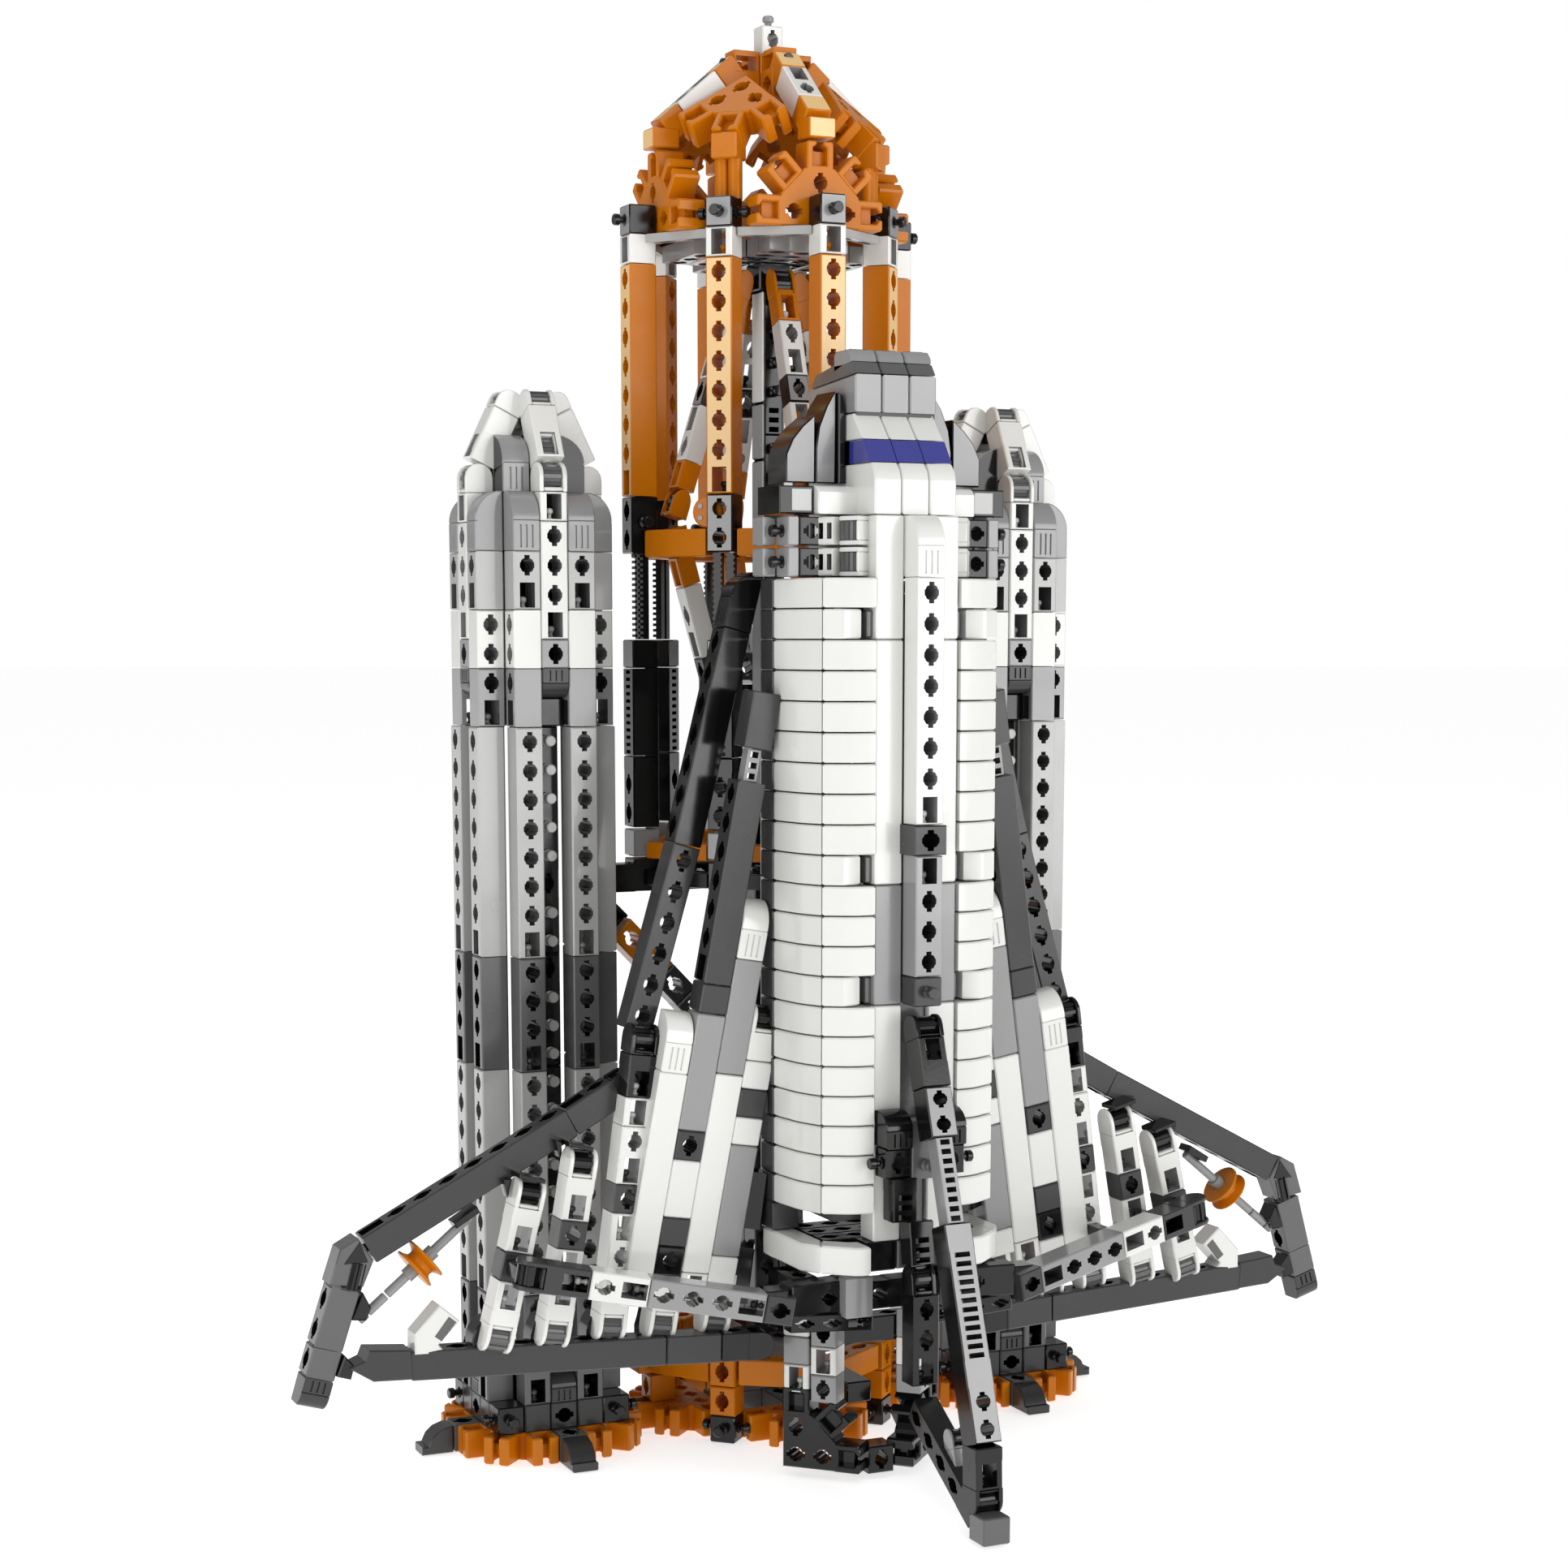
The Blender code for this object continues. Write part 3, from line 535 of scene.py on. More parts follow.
def fan(piece, centre, side, rise, front, spread, colour="o"):
    # hole units round the centre, webs between them, and an arm every 45 degrees of the spread
    grid = np.array([side, rise, front], float)
    grid /= np.linalg.norm(grid, axis=1)[:, None]
    centre = np.asarray(centre, float)
    shapeArm = arm()
    low, high = spread

    def toward(degrees):
        c, s = math.cos(math.radians(degrees)), math.sin(math.radians(degrees))
        return np.array([grid[0] * c + grid[1] * s, -grid[0] * s + grid[1] * c, grid[2]])
    put(piece, ringCell(crossHole(), (int(high < 180), 0, int(high < 270), 0)),
        centre - grid[0] * .5, grid, colour)
    for degrees in range(low, high + 1, 45):
        rows = toward(degrees)
        if degrees % 90 == 0:
            if degrees - low != 360:
                under = int(degrees == low and high < 360)
                over = int(degrees == high and high < 360)
                cross = ringCell(crossHole(), (0, 0, under, over), 0.97)
                put(piece, cross, centre + rows[0] * .5, rows, colour)
                put(piece, shapeArm, centre + rows[0] * 1.47, rows, colour)
        else:
            put(piece, shapeArm, centre + rows[0] * 1.4425, rows, colour)
            web = toward(degrees - 45)
            outline = [(.46, .46), (1.47, .46), (1.47, .57), (.57, 1.47), (.46, 1.47)]
            put(piece, plate(outline, -.5, .5, 0.04), centre, web, colour)


print("brick shapes ready")

# Boosters: built on the left at their own centre, then moved out and mirrored.
boosterSet = {"x": -9.12, "out": 2.05}


def boosterDisc():
    name = "boosterDiscL"
    for k in range(4):
        turn = spin(90 * k)
        centre = around((1, 1, .5), 90 * k)
        fan(name, centre, turn[0], turn[1], up, (0, 90))
        out = around(ahead, 90 * k)
        if k != 1:
            run(name, out * .5 + (0, 0, .5), out, up, "g.hhh")
            foot = [(3.52, 0.0), (4.68, 0.0), (4.68, .3), (4.45, .3),
                    (4.3, .62), (4.05, .84), (3.7, .96), (3.52, .97)]
            put(name, plate(foot, -.485, .485), (0, 0, 0), [out, up, np.cross(out, up)], "d")
        else:
            run(name, out * .5 + (0, 0, .5), out, up, "g.hh")
    put(name, block(1.0), (-.5, 0, .5), None, "g")


def boosterFrame():
    name = "boosterFrameL"
    for k, front, along in quarters():
        start = along * -1.5 + front * 2 + (0, 0, 1.5)
        run(name, start, along, front, "d.1 d.h d.1")
        corner = along * -2.5 + front * 2 + (0, 0, 1.5)
        run(name, corner, along, front, "k.1")
        put(name, pegShape(), corner + along * .5, axesOf(along, front), "k")
        put(name, pegShape(), corner + along * .5, axesOf(front, -along), "k")
        run(name, along * -1.5 + front * 1 + (0, 0, 1.5), along, up, "k.hhh")
    put(name, block(1.0), (-.5, 0, 1.5), None, "k")


def boosterShaft():
    # the columns in three parts, one for each solid
    parts = {"boosterUpperL": (26, "p.hhhhhhhs", "k.BBBBBhBB", 8),
             "boosterBandL": (18, "g.hhhs", "k.hBBB", 4),
             "boosterLowerL": (14, "p.hhhhhhhs g.hhhs", "k.BBhBBBBh k.BhBB", 12)}
    for name, (top, words, core, count) in parts.items():
        for k, front, along in quarters():
            for side in (-1, 1):
                run(name, along * side + front * boosterSet["out"] + (0, 0, top), down, front, words)
            if k % 2 == 0:
                run(name, front * .98 + (0, 0, top), down, front, core, (.78, .96))
        put(name, block(count, .78, 1), (0, 0, top), axesOf(down, ahead), "k")
    for _, front, _ in quarters():
        put("boosterLowerL", ribbedSlope(1.0, .5), front * 2 + (0, 0, 2), axesOf(up, front), "d")


def boosterCollar():
    name = "boosterCollarL"
    for k, front, along in quarters():
        for side in (-1, 1):
            # the white upper and light grey lower halves of these columns are painted light: a lit top and
            # painted shade below, split at z 28
            run(name, along * side + front * 2 + (0, 0, 30), down, along * side, "w.hh l.hs")
            run(name, along * side + front * 2 + (0, 0, 32), down, front, "p.hs")
        run(name, front * 2 + (0, 0, 33), down, front, "w.hhhs l.h")
        put(name, ribbedSlope(1.0, .5), front * 2 + (0, 0, 28), axesOf(down, front), "d")
        run(name, front * 1.4 + (0, 0, 27), down, front, "k.1")
    run(name, (0, 0, 32), down, ahead, "k.6", size=(1.9, 1.9))


def boosterDome():
    name = "boosterDomeL"
    for k, front, along in quarters():
        for side in (-1, 1):
            put(name, ribbedSlope(2.05, 1.0), along * side + front * 2 + (0, 0, 32), axesOf(up, front), "l")
            run(name, along * side + front * 1 + (0, 0, 32), up, front, "k.2")
        slope = sided(ribbedSlope(2.0, 1.2), "k")
        put(name, slope, along * -1 + front * 1 + (0, 0, 34), axesOf(up, front), "l")
        run(name, front * 1 + (0, 0, 32), up, front, "k.3")
    run(name, (0, 0, 32), up, ahead, "k.4")


def boosterNose():
    name = "boosterNoseL"
    for _, front, _ in quarters():
        run(name, front * 2 + (0, 0, 34), down, front, "w.s")
        run(name, front * 2 + (0, 0, 34), up, front, "w.r")
        foot, top = front * 2 + (0, 0, 34.55), front * .72 + (0, 0, 37.15)
        lean = top - foot
        lean /= np.linalg.norm(lean)
        outwards = np.cross(lean, np.cross(front, lean))
        run(name, foot + lean * 0.45 + outwards * 0.1, lean, outwards, "w.R", size=(.66, .7))
        run(name, foot + lean * 2.45 + outwards * .06, -lean, outwards, "w.1s")
        run(name, foot + lean * 2.45 + outwards * .06, lean, outwards, "w.r", stretch=.75)
    run(name, (0, 0, 36.2), up, ahead, "k.1", size=(.8, .8))


def boosters():
    for builder in (boosterDisc, boosterFrame, boosterShaft, boosterCollar, boosterDome, boosterNose):
        builder()
    mains = {"boosterDisc": "o", "boosterFrame": "d", "boosterLower": "l", "boosterBand": "g",
             "boosterUpper": "l", "boosterCollar": "l", "boosterDome": "g", "boosterNose": "w"}
    for name, main in mains.items():
        shift(name + "L", (boosterSet["x"], 0, 0))
        finishPair(name, main)
    print("boosters made")


boosters()


def unitsOf(words):
    # plain digits count their own length, q a half, t (three small slots) one
    return sum(int(unit) if unit.isdigit() else 0.5 if unit == "q" else 1
               for word in words.split() for unit in word.split(".")[1])


def line(piece, top, bottom, front, words, size=(1, 1)):
    # a run stretched a little so that its units end where the photographed one ends
    top, bottom = np.asarray(top, float), np.asarray(bottom, float)
    along = bottom - top
    run(piece, top, along, front, words, size, np.linalg.norm(along) / unitsOf(words))


def slopeBlock(piece, origin, along, front, height, foot, colour, stretch=1.0):
    put(piece, ribbedSlope(height, foot), origin, axesOf(along, front) * [[stretch], [1], [1]], colour)


def facing(piece, outline, front, back, colour, cut=.045):
    # an outline of (x, z) carried from the depth back to the depth front
    put(piece, plate(outline, -back, -front, cut), (0, 0, 0), [(1, 0, 0), (0, 0, 1), (0, -1, 0)], colour)


# Tank: eight columns round a core, ringed at three heights.
tankSet = {"axis": 5.0, "diagonal": 3 * math.sqrt(2),
           "columnNames": ["front", "front_right", "right", "back_right",
                           "back", "back_left", "left", "front_left"]}


def columnSpots():
    for k, name in enumerate(tankSet["columnNames"]):
        radius = tankSet["axis"] if k % 2 == 0 else tankSet["diagonal"]
        yield name, radius, around(ahead, 45 * k), around((1, 0, 0), 45 * k)


def ringOf(piece, z, words, colour, size=(1, 1), front=up):
    # straight bars between neighbouring columns
    spots = [front2 * radius for _, radius, front2, _ in columnSpots()]
    for k, start in enumerate(spots):
        end = spots[(k + 1) % 8]
        way = (end - start) / np.linalg.norm(end - start)
        line(piece, start + way * .5 + (0, 0, z), end - way * .5 + (0, 0, z), front, words, size)


def tankBase():
    name = "tankBase"
    for k, front, along in quarters():
        fan(name, front * 3.2 + (0, 0, .5), along, -front, down, (180, 360))
        diagonal = around((-1, -1, 0), 90 * k) / math.sqrt(2)
        side = around((1, -1, 0), 90 * k) / math.sqrt(2)
        spot = diagonal * tankSet["diagonal"]
        put(name, block(1.0), spot - side * .5 + (0, 0, .5), axesOf(side, diagonal), "k")
        put(name, pegShape(), spot + (0, 0, .5), axesOf(side, diagonal), "k")
        put(name, pegShape(), spot + (0, 0, .5), axesOf(diagonal, -side), "k")
        put(name, pegShape(), spot + (0, 0, .5), axesOf(-diagonal, side), "k")
        run(name, front * .5 + (0, 0, .5), front, up, "g.hh")
        run(name, front * 4.5 + (0, 0, 2), front * 0 + down, front, "o.h")
    put(name, block(1.0), (-.5, 0, .5), None, "g")
    run(name, (-1.5, 0, 1.5), (1, 0, 0), up, "g.hhh")
    for side in (-1, 1):
        run(name, (side * 5.58, 0, .5), (side, 0, 0), up, "g.h")


def tankBaseRing():
    name = "tankBaseRing"
    for _, radius, front, _ in columnSpots():
        run(name, front * radius + (0, 0, 3.2), down, front, "o.h", stretch=1.1)
    for k in (1, 3, 5, 7):
        front = around(ahead, 45 * k)
        run(name, front * tankSet["diagonal"] + (0, 0, 2.1), down, front, "o.h", stretch=1.1)
    ringOf(name, 2.65, "o.hh", "o", (.95, .95))
    run(name, (-4.5, 0, 2.65), (1, 0, 0), up, "g.hhhh g.1 g.hhhh")
    run(name, (0, -4.5, 2.65), (0, 1, 0), up, "l.hhhhs l.hhhh")


def tankStem():
    name = "tankStem"
    for x in (-.5, .5):
        for y in (-1, 1):
            run(name, (x, y * .5, 20), down, (0, y, 0), "k.bhhbhhb k.hhbhhbhhb", stretch=16.7 / 16)
    for side in (-1, 1):
        line(name, (side * 6.0, 0, 18.7), (side * 3.5, 0, 16.1), ahead, "o.hh d.h")
        line(name, (side * 3.5, 0, 16.1), (side * 1.0, 0, 13.3), ahead, "d.hhs")
        put(name, knuckle(), (side * 6.1, 0, 18.8), axesOf((side * .7, 0, .7), ahead), "k")
    for _, front, _ in quarters():
        for z in (6, 12):
            put(name, pegShape(), front * .5 + (0, 0, z + .5), axesOf(down, front), "k")


def toothedBar(length, teeth, wide, deep):
    # square teeth cut across the front of a bar
    step = length / teeth
    u = np.arange(teeth)[:, None] * step + np.array([0.1, 0.1, 0.6, 0.6]) * step
    w = np.tile([deep / 2 - .12, deep / 2, deep / 2, deep / 2 - .12], (teeth, 1))
    outline = np.column_stack([u.reshape(-1), w.reshape(-1)])
    ends = [(length, deep / 2 - .12), (length, -deep / 2), (0, -deep / 2)]
    outline = np.concatenate([[(0, deep / 2 - .12)], outline, ends])
    bar = plate(outline, -wide / 2, wide / 2, 0.0001)
    return moved(bar, rows=[(1, 0, 0), (0, 0, 1), (0, 1, 0)])


def tankRacks():
    name = "tankRacks"
    rod = toothedBar(3.0, 15, .3, .34)
    for _, radius, front, along in columnSpots():
        spot = front * radius
        for side in (-1, 1):
            put(name, rod, spot + along * side * .24 + (0, 0, 32), axesOf(down, front), "k")
        # x and y paint lighter fronts on these black bricks: a lamp's painted reflection
        run(name, spot + (0, 0, 29), down, front, "x.1 y.fff k.qhh", stretch=6.7 / 6.5)
        run(name, spot + (0, 0, 22.25), down, front, "l.1")
        run(name, spot + (0, 0, 21.2), down, front, "k.h")
    put(name, block(5.6, 1.8, .7), (0, -6.1, 20.5), axesOf((0, 1, 0), up), "k")
    ringOf(name, 21.5, "o.hh", "o", (.95, .6))
    ringOf(name, 20.5, "k.hh", "k", (.9, .55))
    run(name, (-6.45, 0, 20.5), (1, 0, 0), ahead, "k.1hhhhhhhhhhh1", stretch=12.9 / 13)
    run(name, (0, -4.5, 20.5), (0, 1, 0), up, "k.hhhhhhhhh")


def tankMidRing():
    name = "tankMidRing"
    for _, radius, front, along in columnSpots():
        # x paints a light grey front on these black bricks: a lamp's painted reflection
        run(name, front * radius + (0, 0, 34), down, front, "x.hh")
        if radius > 4.9:
            for side in (-1, 1):
                put(name, pegShape(), front * radius + (0, 0, 33.1), axesOf(up, along * side), "k")
        else:
            disc = turned([(.5, -.12), (.55, -.07), (.55, .07), (.5, .12)], 20)
            middle = front * radius - along * .62 + (0, 0, 33.4)
            put(name, disc, middle, axesOf(up, front), "o")
            for side in (-.2, .2):
                dot = turned([(.09, .1), (.09, .16)], 8)
                put(name, dot, middle - along * .24 + (0, 0, side), axesOf(up, front), "l")
    ringOf(name, 32.35, "o.hh", "o", (.9, .95))


def tankColumns():
    for place, radius, front, _ in columnSpots():
        name = "tankColumn" + "".join(word.capitalize() for word in place.split("_"))
        # z paints the front faces of the tank columns a lighter orange: painted light
        run(name, front * radius + (0, 0, 42), down, front, "z.hhhhhhhs k.")
        finishPiece(name, "o")


def tankRing():
    name = "tankRing"
    for _, radius, front, along in columnSpots():
        run(name, front * radius + (0, 0, 43), down, front, "w.s o.")
        start = front * radius - along * .5 + (0, 0, 43.5)
        # the light grey front on this black block is a lamp's painted reflection
        put(name, paintFrontLight(block(1.0), "l", "k"), start, axesOf(along, front), "k")
        put(name, pegShape(), front * radius + (0, 0, 43.5), axesOf(along, front), "k")
        for side in (-1, 1):
            if radius < 4.9:
                put(name, pegShape(), front * radius + (0, 0, 43.5), axesOf(front, along * side), "k")
    ringOf(name, 42.85, "p.hh", "p", (.5, .3))
    for k, front, along in quarters():
        for row in range(3):
            run(name, front * (1 + row) - along * 1.5 + (0, 0, 42.6), along, up, "l.hhh", (1, .6))
    run(name, (-1.5, 0, 42.6), (1, 0, 0), up, "l.hhh", (1, .6))


def tankCore():
    name = "tankCore"
    run(name, (0, 0, 42.3), down, ahead, "k.1", (1.2, 1.2))
    for side in (-1, 1):
        run(name, (0, side * .05, 41.3), down, (0, side, 0), "k.1hbbt k.bb k.hbhbhb k.bhbbhbs", (.7, .9))
        plates = ((41.3, 37.42, "w"), (37.38, 35.42, "l"), (35.38, 31.4, "l"), (31.36, 23.5, "g"))
        for top, bottom, colour in plates:
            put(name, block(top - bottom, .96, .1), (side * .39, 0, top), axesOf(down, (side, 0, 0)), colour)
    for _, front, _ in quarters():
        knee, tip = front * 3.72 + (0, 0, 33.3), front * 1.9 + (0, 0, 26.4)
        # x paints a light grey front on the black brick of this line: a lamp's painted reflection
        line(name, front * .95 + (0, 0, 42.0), knee, front + (0, 0, .01), "o.Ks w.hs x.h w.sh o.sK",
             (.86, .7))
        line(name, knee + (0, 0, -.35), tip, front + (0, 0, .01), "o.ks w.qhs d.h l.K", (.86, .7))


def tankDome():
    name = "tankDome"
    for k in range(4):
        turn = spin(90 * k)
        front, along = around(ahead, 90 * k), around((1, 0, 0), 90 * k)
        fan(name, front * 3.93 + (0, 0, 43.5), along, up, front, (0, 180))
        slope, level = around((-.5, -.5, -.7071), 90 * k), around((.7071, -.7071, 0), 90 * k)
        outer = around((-.5, -.5, .7071), 90 * k)
        corner = around((-1.824, -1.824, 0), 90 * k) + (0, 0, 47.97) - outer * .5
        fan(name, corner, (slope - level) / math.sqrt(2), (slope + level) / math.sqrt(2), outer, (0, 90))
        diagonal = around((-1, -1, 0), 90 * k) / math.sqrt(2)
        side = around((1, -1, 0), 90 * k) / math.sqrt(2)
        for shift2 in (-.25, .25):
            post = turned([(.25, 0), (.25, 1.35)], 12)
            put(name, post, diagonal * 3.8 + side * shift2 + (0, 0, 44), axesOf((1, 0, 0), up), "o")
        put(name, block(.9, .95, .95), diagonal * 3.8 + (0, 0, 45.3), axesOf(up, diagonal), "o")
        # the lighter orange fronts (c here, z in the line below) are painted light
        put(name, paintFrontLight(block(.71), "c", "o"), front * 4.1 + (0, 0, 45.95), axesOf(up, front), "o")
        line(name, front * 4.05 + (0, 0, 46.55), front * 1.25 + (0, 0, 48.95), front + up, "z.1 w.hs z.1",
             (.95, .95))
        run(name, front * .5 + (0, 0, 48.3), front, along, "o.h")
        run(name, front * .5 + (0, 0, 49.05), front, along, "o.s", (.9, .9))
        put(name, pegShape(), front * .9 + (0, 0, 49.05), axesOf(up, front), "k")
    put(name, block(1.8), (0, 0, 47.6), axesOf(up, ahead), "o")


def tankSpire():
    name = "tankSpire"
    run(name, (0, 0, 50.42), down, ahead, "w.h", (.8, .8))
    tip = [(.16, 50.38), (.12, 50.5), (.12, 50.56), (.2, 50.6), (.2, 50.74), (.15, 50.8)]
    put(name, turned(tip, 16), colour="l")


def tank():
    pieces = {"tankBase": (tankBase, "o"), "tankBaseRing": (tankBaseRing, "o"), "tankStem": (tankStem, "d"),
              "tankRacks": (tankRacks, "k"), "tankMidRing": (tankMidRing, "o"), "tankRing": (tankRing, "w"),
              "tankCore": (tankCore, "l"), "tankDome": (tankDome, "o"), "tankSpire": (tankSpire, "g")}
    for name, (builder, main) in pieces.items():
        builder()
        finishPiece(name, main)
    tankColumns()
    print("tank made")


# Orbiter: curved one-unit rows round a dark back, a spine down the front.
orbiterSet = {"top": 31, "rows": 21, "ridged": (1, 9, 13),
              "sideOutline": [(-3.22, -11.53), (-3.5, -10.8), (-3.62, -10.4), (-3.75, -9.4), (-3.78, -8.9),
                              (-2.95, -8.9), (-2.9, -10.3), (-2.6, -10.9)],
              "frontOutline": [(-1.53, -12.15), (-2.1, -12.1), (-2.45, -11.98),
                               (-3.22, -11.53), (-2.6, -10.9), (-1.53, -11.1)],
              "ridgedOutline": [(-1.9, -11.75), (-2.2, -11.9), (-2.6, -11.93), (-3.22, -11.53), (-2.6, -10.9),
                                (-1.9, -11.1)]}


def panelRows():
    name = "orbiterPanelsL"
    for row in range(orbiterSet["rows"]):
        low = orbiterSet["top"] - 1 - row
        put(name, plate(inset(orbiterSet["sideOutline"], .02), low + .025, low + .975, .05), colour="w")
        front = "ridgedOutline" if row in orbiterSet["ridged"] else "frontOutline"
        put(name, plate(inset(orbiterSet[front], .02), low + .025, low + .975, .05), colour="w")
        if row in orbiterSet["ridged"]:
            put(name, block(.9, .3, .5), (-1.55, -11.5, low + .05), axesOf(up, ahead), "g")


def orbiterCore():
    name = "orbiterCore"
    for side in (-1, 1):
        # strips beside the spine
        run(name, (side * 1, -11.5, 33), down, ahead, "w.4 w.8")
        run(name, (side * 1, -11.5, 21), down, ahead, "l.4 w.8")
        for row in range(22):
            run(name, (side * 3.3, -8.4, 31 - row), down, (side, 0, 0), "d.1")
        run(name, (side * 2.8, -7.2, 31), down, (side, 0, 0), "l.hhhs w.hhhhhs w.hhhhhs k.hhs w.hs")
        run(name, (side * 2, -7.1, 31), down, (0, 1, 0), "l.hhhhhhs l.hhhhhhs k.hhhhhhs")
    run(name, (0, -11.4, 30), down, ahead, "g.9 g.9 g.3", (1, .8))
    run(name, (0, -7.1, 31), down, (0, 1, 0), "k.hhhhhhs k.hhhhhhs k.hhhhhhs")
    run(name, (-1, -7.1, 31), down, (0, 1, 0), "l.hhhhhhs l.hhhhhhs k.hhhhhhs")
    run(name, (1, -7.1, 31), down, (0, 1, 0), "l.hhhhhhs l.hhhhhhs k.hhhhhhs")
    for z in (30, 24, 17, 10):
        for y in (-8.2, -9.2, -10.2):
            run(name, (-2.4, y, z), (1, 0, 0), up, "g.hhhhh", (1, .95), stretch=.96)


def orbiterRing():
    name = "orbiterRing"
    outline = [(-1.85, -11.6), (-1.85, -12.55), (-2.1, -12.58), (-2.4, -12.5), (-3.3, -11.7)]
    inner = [(-2.9, -10.9), (-2.2, -11.5)]
    rear = [(-3.3, -11.7), (-3.75, -11.0), (-3.75, -8.0), (-2.9, -8.0), (-2.9, -10.9)]
    for side in (-1, 1):
        front = [(side * -x, y) for x, y in outline + inner]
        back = [(side * -x, y) for x, y in rear]
        put(name, plate(front, 8.03, 8.99, .06), colour="w")
        put(name, plate(back, 8.03, 8.99, .06), colour="w")
    run(name, (-1.8, -11.5, 8.5), (1, 0, 0), ahead, "k.1 g.h k.1", stretch=1.2)
    for y in (-8.5, -9.5, -10.5):
        run(name, (-2.9, y, 8.5), (1, 0, 0), down, "k.hhhhhh", stretch=.966)


def orbiterSpine():
    name = "orbiterSpine"
    run(name, (0, -12.5, 31), down, ahead, "w.hhhhhhhs")
    run(name, (0, -12.52, 23), down, ahead, "d.h", (1.24, 1.1))
    run(name, (0, -12.5, 22), down, ahead, "l.shhh")
    run(name, (0, -12.5, 18), down, ahead, "d.b")
    put(name, ribbedSlope(2.0, .8), (0, -12.5, 31), axesOf(up, ahead), "w")


def carried(outline, low, high, cut=.05):
    # an outline of (y, z) carried across x
    shape = plate(outline, low, high, cut)
    return moved(shape, rows=[(0, 1, 0), (0, 0, 1), (1, 0, 0)])


def orbiterNose():
    name = "orbiterNose"
    profiles = [("w", [(-6.7, 33.02), (-11.83, 33.02), (-11.83, 34.1),
                       (-11.74, 34.42), (-11.5, 34.67), (-6.7, 34.67)]),
                ("w", [(-6.7, 31.03), (-11.95, 31.03), (-11.95, 32.98), (-6.7, 32.98)]),
                ("w", [(-8.4, 35.46), (-10.92, 35.46), (-10.14, 36.31), (-8.4, 36.31)]),
                ("l", [(-6.7, 36.36), (-10.34, 36.36), (-10.33, 37.56), (-6.7, 37.3)]),
                ("g", [(-6.9, 37.34), (-10.32, 37.6), (-10.03, 37.97), (-8.6, 37.97), (-7.2, 37.75)]),
                ("l", [(-8.66, 37.7), (-9.98, 38.0), (-9.92, 38.22),
                       (-9.74, 38.39), (-8.78, 38.39), (-8.66, 38.25)])]
    for k in range(3):
        for colour, profile in profiles:
            put(name, carried(profile, k - 1.485, k - .515), colour=colour)
        for y in (-9.55, -9.3):
            put(name, block(.7, .07, .06), (k - 1.35, y, 38.39), axesOf((1, 0, 0), up), "d")
    put(name, carried([(-6.7, 34.6), (-10.2, 34.6), (-10.2, 36.4), (-6.7, 36.4)], -1.4, 1.4), colour="k")
    for side in (-1, 1):
        put(name, block(2.4, .9, .8), (side * .9, -7.6, 33.0), axesOf((0, 1, 0), up), "k")


def orbiterWindow():
    name = "orbiterWindow"
    glass = [(-9.9, 34.7), (-11.48, 34.7), (-10.95, 35.43), (-9.9, 35.43)]
    for k in range(3):
        put(name, carried(glass, k - 1.49, k - .51, .02), colour="v")


def orbiterCheek():
    name = "orbiterCheekL"
    outer = [(-2.54, 34.08), (-3.58, 34.08), (-3.58, 34.99), (-3.34, 35.5), (-2.98, 35.92), (-2.54, 36.27)]
    inner = [(-1.8, 34.08), (-2.5, 34.08), (-2.5, 35.2), (-2.4, 35.9), (-2.12, 36.58), (-1.8, 37.05)]
    edge = [(-1.5, 34.08), (-1.77, 34.08), (-1.77, 37.0), (-1.6, 36.9), (-1.5, 36.4)]
    for outline in (outer, inner):
        # the light grey fronts on these black plates are a lamp's painted reflection
        shape = paintFrontLight(plate(outline, 8.0, 9.5), "l", "k")
        put(name, shape, (0, 0, 0), [(1, 0, 0), (0, 0, 1), (0, -1, 0)], "k")
    facing(name, edge, -9.7, -8.0, "k")
    facing(name, [(-2.9, 33.05), (-4.13, 33.05), (-4.13, 33.95), (-2.9, 33.95)], -10.2, -8.4, "k")
    # this thin pale grey plate on the black block's front is a lamp's painted reflection
    facing(name, [(-3.0, 33.15), (-3.7, 33.15), (-3.7, 33.85), (-3.0, 33.85)], -10.23, -10.1, "p", .01)
    lip = [(-9.0, 33.05), (-10.5, 33.05), (-10.5, 33.75), (-10.38, 33.9), (-10.2, 33.97), (-9.0, 33.97)]
    put(name, carried(lip, -2.88, -1.1), colour="w")
    for z in (31.5, 32.5):
        put(name, block(.95, .46, .9), (-4.13, -8.95, z - .47), axesOf(up, ahead), "l")
        put(name, pegShape(), (-3.4, -9.85, z), axesOf(up, (-1, 0, 0)), "k")
        # the light grey half unit at the start is a lamp's painted reflection on a black block
        line(name, (-3.9, -9.85, z), (-2.6, -9.85, z), ahead, "l.q k.h", (.95, .95))
        line(name, (-2.62, -9.75, z), (-1.6, -11.45, z), (-.86, -.51, 0), "w.t w.R", (.92, .9))
        put(name, block(1.4, 1.8, .9), (-1.5, -8.95, z), axesOf((-1, 0, 0), up), "g")


def orbiter():
    panelRows()
    orbiterCheek()
    orbiterCore()
    orbiterRing()
    orbiterSpine()
    orbiterNose()
    orbiterWindow()
    finishPair("orbiterPanels", "w")
    finishPair("orbiterCheek", "g")
    mains = {"orbiterCore": "l", "orbiterRing": "w", "orbiterSpine": "w", "orbiterNose": "l",
             "orbiterWindow": "v"}
    for name, main in mains.items():
        finishPiece(name, main)
    print("orbiter made")


